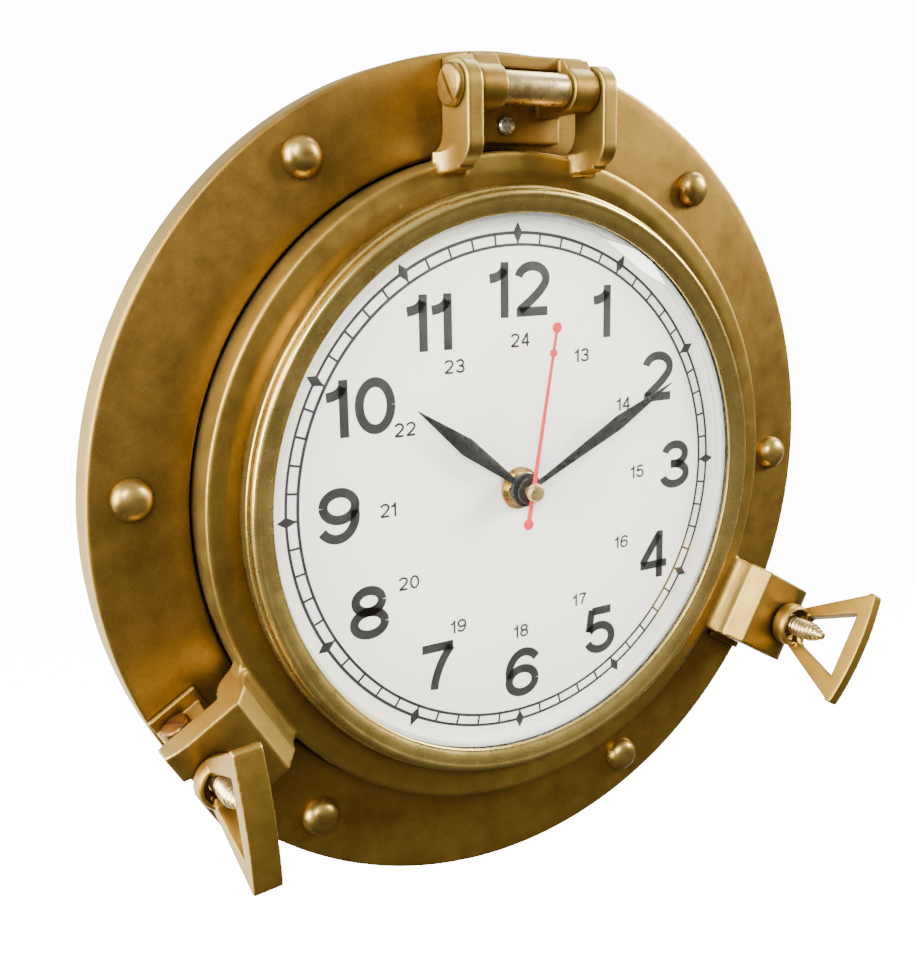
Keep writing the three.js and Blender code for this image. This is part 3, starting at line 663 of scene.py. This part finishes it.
def ear_root(sign):
    """A fillet where the ear's sides meet the front of the ring."""
    sections = []
    steps = 12
    for k in range(steps + 1):
        t = k / steps
        spread = 3.6 * (1 - t) ** 2.6
        inner, outer = sign * (EAR_INNER - spread), sign * (EAR_OUTER + spread)
        near, far = 112 - 1.6 * (1 - t), 117.8 + 1.5 * t
        z = DOOR_FRONT - 1.5 + 11 * t
        sections.append([(inner, near, z), (outer, near, z), (outer, far, z), (inner, far, z)])
    return lofted(sections)


def lug_outline(reach_in):
    """The clamp lug's side view: a hollow rise from the ring, a broad chamfer and a flat seat.
    Outboard of the bolt it follows the sweep of the nut."""
    reach = LUG_FRONT - PIVOT_Z
    under = PIVOT_Z + 7.2
    outline = [(112, 18), (120, 19)]
    outline += curve((122, 20), (128, 21.5), (130, under))
    if reach_in:
        outline += [(CLAMP_R - 5, under), (CLAMP_R - 5, LUG_FRONT)]
    else:
        edge = math.degrees(math.acos(LUG_REACH / reach))
        outline += [(CLAMP_R + LUG_REACH, under)]
        outline += arc(CLAMP_R, PIVOT_Z, reach, edge, 90)
    outline += [(126.4, LUG_FRONT), (120.8, 34)]
    outline += curve((120.4, 33), (119.6, DOOR_FRONT + 0.8), (115, DOOR_FRONT - 0.2))
    return outline + [(112, DOOR_FRONT - 0.6)]


def lug_root(sign):
    """The lug's foot spreads sideways along the ring in a fillet."""
    sections = []
    steps = 14
    for k in range(steps + 1):
        t = k / steps
        r = 113 + 11 * t
        inner, outer = sign * 4, sign * (LUG_HALF - 1 + 9 * (1 - t) ** 2.2)
        back, front = 19, DOOR_FRONT - 0.8 + 4 * t ** 1.5
        sections.append([(r, inner, back), (r, outer, back), (r, outer, front - 1), (r, inner, front)])
    return lofted(sections)


def clamp_lug():
    """Two side walls, a web between them with room for the bolt, and the spread foot."""
    slot = 4.8
    return joined(upright(lug_outline(False), slot, LUG_HALF),
                  upright(lug_outline(False), -LUG_HALF, -slot),
                  upright(lug_outline(True), -slot - 0.5, slot + 0.5),
                  lug_root(1), lug_root(-1))


def make_door():
    body = [(DOOR_R, DOOR_BACK), (DOOR_R, DOOR_FRONT - 0.6), (DOOR_R - 0.8, DOOR_FRONT),
            (112, DOOR_FRONT - 0.1), (BEZEL_R + 0.5, DOOR_FRONT - 0.9),
            (BEZEL_R - 2, DOOR_FRONT - 1), (BEZEL_R - 2, LIP_BACK), (DOOR_BORE_R, LIP_BACK),
            (DOOR_BORE_R, DOOR_POCKET_TOP), (DOOR_POCKET_R, DOOR_POCKET_TOP),
            (DOOR_POCKET_R, DOOR_BACK)]
    shapes = [ring(softened(body, 0.8, 3, closed=True), 360)]
    shapes += [sideways(ear_outline(), EAR_INNER, EAR_OUTER),
               sideways(ear_outline(), -EAR_OUTER, -EAR_INNER), ear_root(1), ear_root(-1)]
    shapes += [moved(clamp_lug(), spun(angle)) for angle in CLAMP_ANGLES.values()]
    casting = cast("door_casting", shapes, voxel=0.55, rounds=4, wave=0.1)
    finish_piece(casting, DOOR_BRONZE, "door", "cast_bronze", "door_ring")
    make_bezel()


def make_bezel():
    """The turned bezel: a wall, a fine groove, a round crest and a sloping inner face."""
    profile = [(BEZEL_R - 3.6, DOOR_FRONT - 2), (BEZEL_R, DOOR_FRONT - 2), (BEZEL_R, 30.0)]
    profile += arc(BEZEL_R - 0.9, 30.1, 0.9, 0, 100, 6)
    profile += [(BEZEL_R - 1.35, 30.75), (BEZEL_R - 1.35, 31.3)]
    profile += arc(BEZEL_R - 2.9, BEZEL_CREST - 1.75, 1.75, -5, 120, 14)
    profile += curve((BEZEL_R - 4.4, BEZEL_CREST - 0.35), (LIP_R + 2.4, BEZEL_CREST - 0.7),
                     (LIP_R + 0.6, LIP_BACK + 1.25), 8)
    profile += arc(LIP_R + 0.6, LIP_BACK + 0.65, 0.6, 95, 185, 5)
    profile += [(LIP_R, LIP_BACK), (BEZEL_R - 3.6, LIP_BACK)]
    bezel = make("bezel_turned", ring(profile, 400), 32)
    finish_piece(bezel, BEZEL_BRASS, "door", "cast_bronze")


def make_glass():
    sphere = (GLASS_R ** 2 + GLASS_RISE ** 2) / (2 * GLASS_RISE)
    edge = LIP_BACK - GAP

    def rise(radius):
        return math.sqrt(sphere ** 2 - radius ** 2) - (sphere - GLASS_RISE)

    radii = [LIP_R * k / 24 for k in range(25)]
    back = [(r, edge - GLASS_T + rise(r)) for r in radii] + [(GLASS_R, edge - GLASS_T)]
    front = [(GLASS_R, edge - 0.1), (LIP_R + 0.4, edge - 0.1)]
    front += [(r, edge + rise(r)) for r in reversed(radii[:-1])]
    pane = make("glass_dome", turned(back + front, 192), 30)
    finish_piece(pane, GLASS, "door", "glass", "glass_pane")
    outer = DOOR_BORE_R - GAP
    low = edge - GLASS_T - 1.1
    gasket = make("glass_gasket_ring", washer(99.4, outer, low, low + 0.8, 0.2, 3, 192))
    finish_piece(gasket, RUBBER, "door", "rubber", "glass_gasket")
    low -= 1.9
    snap = make("glass_snap_ring", washer(99.6, outer, low, low + 1.6, 0.3, 3, 192))
    finish_piece(snap, STEEL, "door", "steel", "glass_retaining_ring")


# ---- The clamps ----
def make_clamp(side):
    turn = spun(CLAMP_ANGLES[side])
    make_clamp_bracket(side, turn)
    make_pivot(side, turn)
    make_swing_bolt(side, turn)
    make_loop_nut(side, turn)


def make_clamp_bracket(side, turn):
    base = FLANGE_T + GAP
    rim = CLAMP_R + EYE_R
    foot, tongue, tongue_half = 132.6, 123.5, 5.5
    shapes = [box((foot, -CHEEK_OUTER - 5, base), (rim, CHEEK_OUTER + 5, base + 2)),
              box((tongue, -tongue_half, base), (rim, tongue_half, base + 2))]
    for low, high in ((-CHEEK_OUTER, -CHEEK_INNER), (CHEEK_INNER, CHEEK_OUTER)):
        cheek = [(CLAMP_R - EYE_R - 5, base), (rim, base), (rim, PIVOT_Z)]
        cheek += arc(CLAMP_R, PIVOT_Z + 0.6, EYE_R, 0, 100)
        cheek += [(CLAMP_R - EYE_R - 2, PIVOT_Z + 6), (CLAMP_R - EYE_R - 4, PIVOT_Z + 4)]
        shapes.append(upright(cheek, low, high))
    shapes = [moved(shape, turn) for shape in shapes]
    bracket = cast(f"clamp_bracket_casting_{side}", shapes, voxel=0.4, rounds=2, wave=0.06)
    finish_piece(bracket, BRONZE, "case", "cast_bronze", f"clamp_bracket_{side}")
    soft_edges(f"clamp_bracket_screw_{side}", STEEL, 0.2)


def make_pivot(side, turn):
    at = (CLAMP_R, 0, PIVOT_Z)
    head_in = -CHEEK_OUTER - 0.2
    head = [(0, head_in + 5), (PIVOT_R, head_in + 5), (PIVOT_R, head_in), (PIVOT_HEAD_R, head_in),
            (PIVOT_HEAD_R, head_in - 1.3), (PIVOT_HEAD_R - 0.5, head_in - 2.1), (0, head_in - 2.5)]
    screw = make(f"pivot_screw_turned_{side}",
                 moved(across(turned(softened(head, 0.35), 64), "y", at), turn), 40)
    slot = moved(box((-8, head_in - 4, -0.6), (8, head_in - 1.5, 0.6)),
                 turn @ shift(*at) @ Matrix.Rotation(math.radians(62), 4, "Y"))
    cut(screw, slot)
    finish_piece(screw, DARK_BRONZE, "case", "turned_bronze", f"pivot_screw_{side}")
    end_in = CHEEK_OUTER + 0.2
    end = [(0, CHEEK_INNER + GAP), (PIVOT_R, CHEEK_INNER + GAP), (PIVOT_R, end_in),
           (PIVOT_NUT_R, end_in), (PIVOT_NUT_R, end_in + 0.8), (PIVOT_NUT_R - 1.2, end_in + 1.5),
           (0, end_in + 1.6)]
    nut = make(f"pivot_nut_turned_{side}",
               moved(across(turned(softened(end, 0.3), 48), "y", at), turn), 40)
    finish_piece(nut, HEAD_BRONZE, "case", "turned_bronze", f"pivot_nut_{side}")


def threaded(radius, depth, pitch, low, high, tip_low):
    """A rod with a spiral thread and a blunt cone at its end."""
    segments = 40
    points, rings = [Vector((0, 0, low))], [[0]]
    steps = round((high - low) / pitch * 10)
    for k in range(steps + 1):
        z = low + (high - low) * k / steps
        rings.append(range(len(points), len(points) + segments))
        taper = 1.0 if z < tip_low else 1 - 0.66 * ((z - tip_low) / (high - tip_low)) ** 1.3
        for j in range(segments):
            turn = (z / pitch - j / segments) % 1.0
            groove = depth * (abs(turn - 0.5) * 2) * min(1.0, taper)
            r = radius * taper - groove
            angle = TAU * j / segments
            points.append(Vector((r * math.cos(angle), r * math.sin(angle), z)))
    rings.append([len(points)])
    points.append(Vector((0, 0, high + 0.2)))
    return points, banded(rings)


def make_swing_bolt(side, turn):
    at = (CLAMP_R, 0, PIVOT_Z)
    half = CHEEK_INNER - 1.3
    eye = across(washer(EYE_BORE_R, EYE_R, -half, half, 0.6, 4, 48), "y", at)
    shank = threaded(BOLT_R, depth=0.55, pitch=1.75, low=PIVOT_Z + 3.4, high=BOLT_TIP_Z,
                     tip_low=BOLT_TIP_Z - 6.5)
    shank = moved(shank, shift(CLAMP_R, 0, 0))
    bolt = make(f"swing_bolt_threaded_{side}", moved(joined(eye, shank), turn), 60)
    finish_piece(bolt, BRASS, f"bolt_{side}", "brass", f"swing_bolt_{side}")


def nut_shapes(side):
    """The loop nut: a dished hub, and a triangle of two arms and a bowed end bar."""
    low = LUG_FRONT + GAP
    hub = [(BOLT_R + GAP, low), (NUT_R - 1, low), (NUT_R, low + 1.2), (NUT_R, NUT_TOP - 2),
           (NUT_R - 0.8, NUT_TOP - 0.4), (NUT_R - 1.8, NUT_TOP - 0.2), (6.4, NUT_TOP - 2.6),
           (BOLT_R + GAP, NUT_TOP - 3.4)]
    shapes = [ring(softened(hub, 0.6, 3, closed=True), 64)]
    middle, half = LOOP_OUT[side], LOOP_T[side] / 2
    band = (-middle - half, -middle + half)
    arm = [(3.2, LUG_FRONT + 2), (NUT_R - 0.8, LUG_FRONT + 2), (NUT_R + 0.6, NUT_TOP - 3),
           (LOOP_HALF, LOOP_TOP - 4.4), (14.6, LOOP_TOP - 5.4), (6, NUT_TOP + GAP), (3.6, NUT_TOP - 1.5)]
    for sign in (-1, 1):
        shapes.append(sideways([(sign * y, z) for y, z in arm], *band))
    bar = [(-15.6, LOOP_TOP - 7.2), (15.6, LOOP_TOP - 7.2), (LOOP_HALF, LOOP_TOP - 5.6)]
    bar += arc(LOOP_HALF - 1.4, LOOP_TOP - 4, 1.7, -20, 60, 5)
    bar += curve((LOOP_HALF - 2, LOOP_TOP - 2.2), (0, LOOP_TOP + 1.6),
                 (-LOOP_HALF + 2, LOOP_TOP - 2.2), 16)
    bar += arc(-LOOP_HALF + 1.4, LOOP_TOP - 4, 1.7, 120, 200, 5)
    bar += [(-LOOP_HALF, LOOP_TOP - 5.6)]
    shapes.append(sideways(bar, *band))
    return shapes


def make_loop_nut(side, turn):
    place = turn @ shift(CLAMP_R, 0, 0) @ spun(NUT_TURN[side] + 180)
    shapes = [moved(shape, place) for shape in nut_shapes(side)]
    nut = cast(f"loop_nut_casting_{side}", shapes, voxel=0.34, rounds=9, wave=0.12)
    finish_piece(nut, LOOP_BRONZE, f"nut_{side}", "cast_bronze", f"loop_nut_{side}")


# ---- The dial ----
PRINT_LOW, PRINT_HIGH = DIAL_FRONT - 0.02, DIAL_FRONT + 0.06


def printed_circle(radius):
    return ring(wall(radius - TRACK_LINE, radius + TRACK_LINE, PRINT_LOW, PRINT_HIGH), 360)


def make_track():
    """The railway minute track: two circles, a bar at each minute, a diamond at each hour."""
    shapes = [printed_circle(TRACK_INNER_R), printed_circle(TRACK_R)]
    for minute in range(60):
        bar = box((TRACK_INNER_R, -0.42, PRINT_LOW), (TRACK_R, 0.42, PRINT_HIGH - 0.01))
        shapes.append(moved(bar, spun(6 * minute)))
    for hour in range(12):
        diamond = [(TRACK_R - 3.5, 0), (TRACK_R, -1.9), (TRACK_R + 3.5, 0), (TRACK_R, 1.9)]
        shapes.append(moved(prism(diamond, PRINT_LOW, PRINT_HIGH + 0.01), spun(30 * hour)))
    track = make("minute_track_print", joined(*shapes))
    finish_piece(track, PRINT_BLACK, "case", "dial_white")


def stroke(path, width):
    """A centre line drawn with a broad pen, as a thin solid."""
    path = [Vector(point) for point in path]
    sections = []
    for i, point in enumerate(path):
        ahead = path[min(i + 1, len(path) - 1)] - path[max(i - 1, 0)]
        half = Vector((-ahead.y, ahead.x)).normalized() * width / 2
        left, right = point + half, point - half
        sections.append([(*left, PRINT_LOW), (*right, PRINT_LOW), (*right, PRINT_HIGH),
                         (*left, PRINT_HIGH)])
    return lofted(sections)


def digit_lines(digit, w, h):
    """Centre lines of an upright sans-serif digit that fills 2w across and 2h up."""
    if digit == "0":
        return [oval(0, 0, w, h, 0, 360, 48)]
    if digit == "1":
        return [[(w * 0.3, -h), (w * 0.3, h)],
                curve((-w * 0.75, h * 0.52), (w * 0.1, h * 0.56), (w * 0.26, h * 0.92), 8)]
    if digit == "2":
        top = oval(0, h * 0.44, w, h * 0.56, 168, -25)
        return [top + curve(top[-1], (w * 0.55, -h * 0.22), (-w * 0.9, -h * 0.93)),
                [(-w * 1.12, -h), (w * 1.12, -h)]]
    if digit == "3":
        return [oval(0, h * 0.51, w * 0.88, h * 0.49, 165, -82),
                oval(0, -h * 0.49, w, h * 0.51, 84, -168),
                [(-w * 0.35, h * 0.03), (w * 0.2, h * 0.03)]]
    if digit == "4":
        return [[(w * 0.42, h * 1.02), (-w * 0.98, -h * 0.42)], [(w * 0.5, -h), (w * 0.5, h)],
                [(-w * 1.12, -h * 0.5), (w * 1.14, -h * 0.5)]]
    if digit == "5":
        return [[(-w * 0.62, h), (w * 0.92, h)], [(-w * 0.64, h * 1.1), (-w * 0.86, -h * 0.02)],
                oval(0, -h * 0.38, w, h * 0.62, 146, -160)]
    if digit in "69":
        lines = [oval(0, -h * 0.41, w, h * 0.59, 0, 360, 40),
                 oval(w * 0.18, h * 0.02, w * 1.17, h * 0.98, 38, 192)]
        return lines if digit == "6" else [[(-x, -y) for x, y in line] for line in lines]
    if digit == "7":
        return [[(-w * 1.08, h), (w * 1.1, h)],
                curve((w * 0.98, h * 0.96), (-w * 0.1, h * 0.1), (-w * 0.3, -h))]
    return [oval(0, h * 0.52, w * 0.86, h * 0.48, 0, 360, 40),
            oval(0, -h * 0.48, w, h * 0.52, 0, 360, 40)]


def numeral(text, height, pen, wide, gap):
    """A number as thin solids about its own centre. A straight stroke's end is square, so the
    uprights are lengthened by half the pen."""
    widths = [wide * 0.5 if digit == "1" else wide for digit in text]
    total = sum(widths) + gap * (len(text) - 1)
    x = -total / 2
    shapes = []
    for digit, own in zip(text, widths):
        w = (wide - pen) / 2
        h = (height - pen) / 2
        for line in digit_lines(digit, w, h):
            (x0, y0), (x1, y1) = line[0], line[-1]
            if abs(x0 - x1) < 1e-6 and abs(y0 - y1) > h:
                line = [(x0, -height / 2), (x0, height / 2)]
            shapes.append(moved(stroke(line, pen), shift(x + own / 2, 0, 0)))
        x += own + gap
    return joined(*shapes)


def make_numerals(name, numbers, size, radii, centre):
    """Numbers round the dial. The size is a numeral's height, pen, width and gap, and the radii
    are those of the oval that the numbers stand on."""
    shapes = []
    for number in numbers:
        angle = math.radians(90 - 30 * number)
        x, y = centre[0] + radii[0] * math.cos(angle), centre[1] + radii[1] * math.sin(angle)
        shapes.append(moved(numeral(str(number), *size), shift(x, y, 0)))
    piece = make(name, joined(*shapes))
    finish_piece(piece, PRINT_BLACK, "case", "dial_white")


def make_dial():
    plate = washer(BUSH_HOLE_R + 0.1, DIAL_R, DIAL_BACK, DIAL_FRONT, 0.15, 2, 256)
    dial = make("dial_printed_plate", plate)
    finish_piece(dial, DIAL_WHITE, "case", "dial_white", "dial_plate")
    make_track()
    make_numerals("hour_numerals_print", range(1, 13), (19.3, 3.35, 15.2, 2.0), (73.2, 71.8),
                  (1.2, -0.4))
    make_numerals("day_numerals_print", range(13, 25), (5, 0.8, 3.8, 0.7), (54.6, 54.6), (0.9, -1))
    low = DIAL_FRONT + 0.2
    spacer = make("dial_spacer_frosted",
                  washer(SPACER_INNER_R, SPACER_R, low, SPACER_FRONT, 0.3, 3, 256))
    finish_piece(spacer, SPACER_GREY, "case", "spacer_grey", "dial_spacer_ring")
    disc = make("bush_washer_turned", washer(BUSH_HOLE_R, WASHER_R, low, low + 0.8, 0.25))
    finish_piece(disc, BRASS, "case", "brass", "bush_washer")
    make_bush_nut(low + 0.9)
    bush_top = 28.3
    sleeve = make("bush_sleeve_turned", ring(wall(4.03, 4.27, DIAL_FRONT, bush_top), 64))
    finish_piece(sleeve, BRASS, "case", "black_plastic")


def make_bush_nut(low):
    corners = [polar(BUSH_NUT_R, 60 * k) for k in range(6)]
    nut = make("bush_nut_hexagon", prism(corners, low, low + BUSH_NUT_T))
    cut(nut, rod(BUSH_HOLE_R, low - 2, low + 5))
    chamfer = [(5.6, low + 2.4), (8, low + 1.2), (8, low + 2.4)]
    cut(nut, ring(chamfer, 64))
    finish_piece(nut, BRASS, "case", "brass", "bush_nut")


# ---- The hands ----
def lance(tip, shoulder, half, neck, z, ridge):
    """A bevelled lance blade: its middle line stands up as a ridge."""
    stations = [(0, neck), (tip * 0.12, neck), (tip * shoulder, half), (tip, 0.15)]
    edge = z + HAND_T * 0.4
    sections = []
    for x, wide in stations:
        crest = edge + ridge * min(1.0, wide / half + 0.35)
        sections.append([(x, -wide, z), (x, -wide, edge), (x, 0, crest), (x, wide, edge),
                         (x, wide, z)])
    return lofted(sections)


def make_black_hand(body, blade, z, angle, bore_r, root_r, boss_r, boss_t):
    """A blade and the boss at its middle. The blade's root lies inside the boss."""
    piece = make(f"{body}_hand_blade", moved(blade, spun(angle)), 20)
    cut(piece, rod(root_r, z - 1, z + 3))
    finish_piece(piece, HAND_BLACK, body, "hand_black", f"{body}_hand")
    boss = make(f"{body}_hand_boss", washer(bore_r, boss_r, z, z + boss_t, 0.2))
    finish_piece(boss, HAND_BLACK, body, "hand_black")


def make_hands():
    hour = lance(HOUR_LENGTH, shoulder=0.56, half=3.3, neck=1.2, z=HOUR_Z, ridge=0.7)
    make_black_hand("hour", hour, HOUR_Z, HOUR_ANGLE, bore_r=2.6, root_r=5.0, boss_r=6.2,
                    boss_t=1.6)
    minute = lance(MINUTE_LENGTH, shoulder=0.62, half=2.8, neck=1.1, z=MINUTE_Z, ridge=0.6)
    make_black_hand("minute", minute, MINUTE_Z, MINUTE_ANGLE, bore_r=1.7, root_r=4.0, boss_r=5.0,
                    boss_t=1.5)
    make_second_hand()


def make_second_hand():
    needle = [(SECOND_LENGTH, 0.45), (-SECOND_TAIL, 0.85), (-SECOND_TAIL, -0.85), (SECOND_LENGTH, -0.45)]
    shapes = [prism(needle, SECOND_Z, SECOND_Z + 0.55)]
    for x, radius in ((SECOND_LENGTH, 1.9), (SECOND_LENGTH - 9, 1.5), (-SECOND_TAIL, 2.0), (0, 2.7)):
        shapes.append(moved(rod(radius, SECOND_Z - 0.05, SECOND_Z + 0.65, 32, 0.15), shift(x, 0, 0)))
    hand = make("second_hand_needle", moved(joined(*shapes), spun(SECOND_ANGLE)), 40)
    finish_piece(hand, HAND_RED, "second", "hand_red", "second_hand")
    low = SECOND_Z + HAND_T
    cap = [(0, low - 3), (2.4, low - 3), (2.4, low), (3.4, low), (3.4, low + 1.6), (2.9, low + 2.5),
           (1.5, low + 2.75), (0, low + 2.8)]
    button = make("second_hand_button", turned(softened(cap, 0.4, 4), 48), 40)
    finish_piece(button, BRASS, "second", "brass", "second_hand_cap")


# ---- Carried-over pieces ----
def dress_frame():
    for i in range(1, 5):
        soft_edges(f"rear_cover_screw_{i}", STEEL, 0.15)
    soft_edges("rear_cover", COVER_BLACK, 0.3)
    soft_edges("bush_gasket", RUBBER, 0.1)
    for name in ("movement_case", "movement_back"):
        soft_edges(name, PLASTIC, 0.3)
    soft_edges("battery", CELL, 0.3)
    for name in ("battery_contact_positive", "battery_contact_negative", "stator", "rotor"):
        soft_edges(name, STEEL, 0.1)
    soft_edges("coil", COPPER, 0.2)
    soft_edges("circuit_board", BOARD, 0.1)
    for name in ("intermediate_wheel", "third_wheel", "second_wheel", "minute_wheel",
                 "hour_wheel", "motion_wheel", "setting_knob"):
        soft_edges(name, NYLON, 0.1)


# ---- Stage, light and camera ----
WHITE_LEVEL = 14.0
CAMERA_PLACE = (-0.2283, -0.3659, 0.0958)
CAMERA_YAW, CAMERA_PITCH, CAMERA_ROLL = 30.77, 12.77, -0.884
CAMERA_LENS = 43.06


def make_camera():
    yaw, pitch, roll = (math.radians(a) for a in (CAMERA_YAW, CAMERA_PITCH, CAMERA_ROLL))
    forward = Vector((math.sin(yaw) * math.cos(pitch), math.cos(yaw) * math.cos(pitch),
                      -math.sin(pitch)))
    level = Vector((math.cos(yaw), -math.sin(yaw), 0))
    up = level.cross(forward)
    right = level * math.cos(roll) + up * math.sin(roll)
    top = up * math.cos(roll) - level * math.sin(roll)
    camera = placed("camera", bpy.data.cameras.new("camera"))
    turn = Matrix((right, top, -forward)).transposed()
    camera.matrix_world = Matrix.Translation(CAMERA_PLACE) @ turn.to_4x4()
    camera.data.lens = CAMERA_LENS
    camera.data.sensor_width = 36
    camera.data.clip_start = 0.01
    bpy.context.scene.camera = camera


def make_lamp(name, place, size, power, colour):
    """An area lamp that points at the middle of the clock's back."""
    lamp = bpy.data.lights.new(name, "AREA")
    lamp.shape = "RECTANGLE"
    lamp.size, lamp.size_y = size
    lamp.energy = power
    lamp.color = colour
    holder = placed(name, lamp)
    holder.location = place
    holder.rotation_euler = (-Vector(place)).to_track_quat("-Z", "Y").to_euler()


def make_world():
    """A plain bright room: pale overhead, dim in front and below, so that the metal has
    something dark to reflect."""
    world = bpy.data.worlds.new("studio")
    bpy.context.scene.world = world
    n = Tree(world)
    split = n.new("ShaderNodeSeparateXYZ")
    n.link(n.new("ShaderNodeTexCoord").outputs["Generated"], split.inputs[0])
    stops = [(0.0, (0.10, 0.09, 0.07)), (0.45, (0.19, 0.17, 0.13)), (0.62, (0.36, 0.34, 0.29)),
             (1.0, (1.0, 1.0, 0.98))]
    room = n.new("ShaderNodeBackground")
    n.link(n.ramp(n.grey(split.outputs["Z"], -1, 1, 0, 1), stops), room.inputs["Color"])
    seen = n.new("ShaderNodeBackground")
    seen.inputs["Color"].default_value = (1, 1, 1, 1)
    seen.inputs["Strength"].default_value = WHITE_LEVEL
    path = n.new("ShaderNodeLightPath")
    mix = n.mix_shaders(path.outputs["Is Camera Ray"], room.outputs[0], seen.outputs[0])
    n.link(mix, n.new("ShaderNodeOutputWorld").inputs["Surface"])


def make_floor():
    """A plain white sweep behind and below the clock. It looks white without throwing extra
    light into the room."""
    n = Nodes("pale_floor")
    tone = n.ramp(n.noise(400, 2), [(0.3, (0.86, 0.86, 0.85)), (0.7, (0.9, 0.9, 0.89))])
    seen = n.new("ShaderNodeLightPath").outputs["Is Camera Ray"]
    material = n.set(Base_Color=tone, Roughness=0.9, Emission_Color=(1, 1, 1, 1),
                     Emission_Strength=n.grey(seen, 0, 1, 0, WHITE_LEVEL))
    low = cad_box[0][2] - 0.6
    profile = [(0.3, low)] + curve((3.0, low), (6.0, low), (6.0, low + 3.0), 16) + [(6.0, low + 7)]
    points = [(x, y, z) for y, z in profile for x in (-9, 9)]
    faces = [(2 * i, 2 * i + 1, 2 * i + 3, 2 * i + 2) for i in range(len(profile) - 1)]
    mesh = bpy.data.meshes.new("floor")
    mesh.from_pydata(points, [], faces)
    mesh.materials.append(material)
    floor = placed("floor", mesh)


def make_lights():
    make_lamp("rim_left", (-1.5, 1.1, 0.15), (1.6, 2.0), 60, (1.0, 0.96, 0.82))
    make_lamp("key_left", (-1.8, -0.3, 0.5), (1.0, 1.4), 110, (1.0, 0.98, 0.90))
    make_lamp("front_left", (-1.25, -2.0, 1.3), (0.9, 0.9), 85, (1.0, 0.98, 0.90))
    make_lamp("side_right", (1.9, -0.9, 0.9), (0.8, 0.8), 110, (1.0, 1.0, 0.93))
    make_lamp("back_right", (1.2, 0.5, 1.3), (1.0, 1.0), 30, (0.98, 1.0, 0.92))


make_camera()
make_world()
make_lights()
make_floor()
make_case()
make_hinge_bracket()
make_hinge_pin()
make_door()
make_glass()
make_clamp("left")
make_clamp("right")
make_dial()
make_hands()
dress_frame()
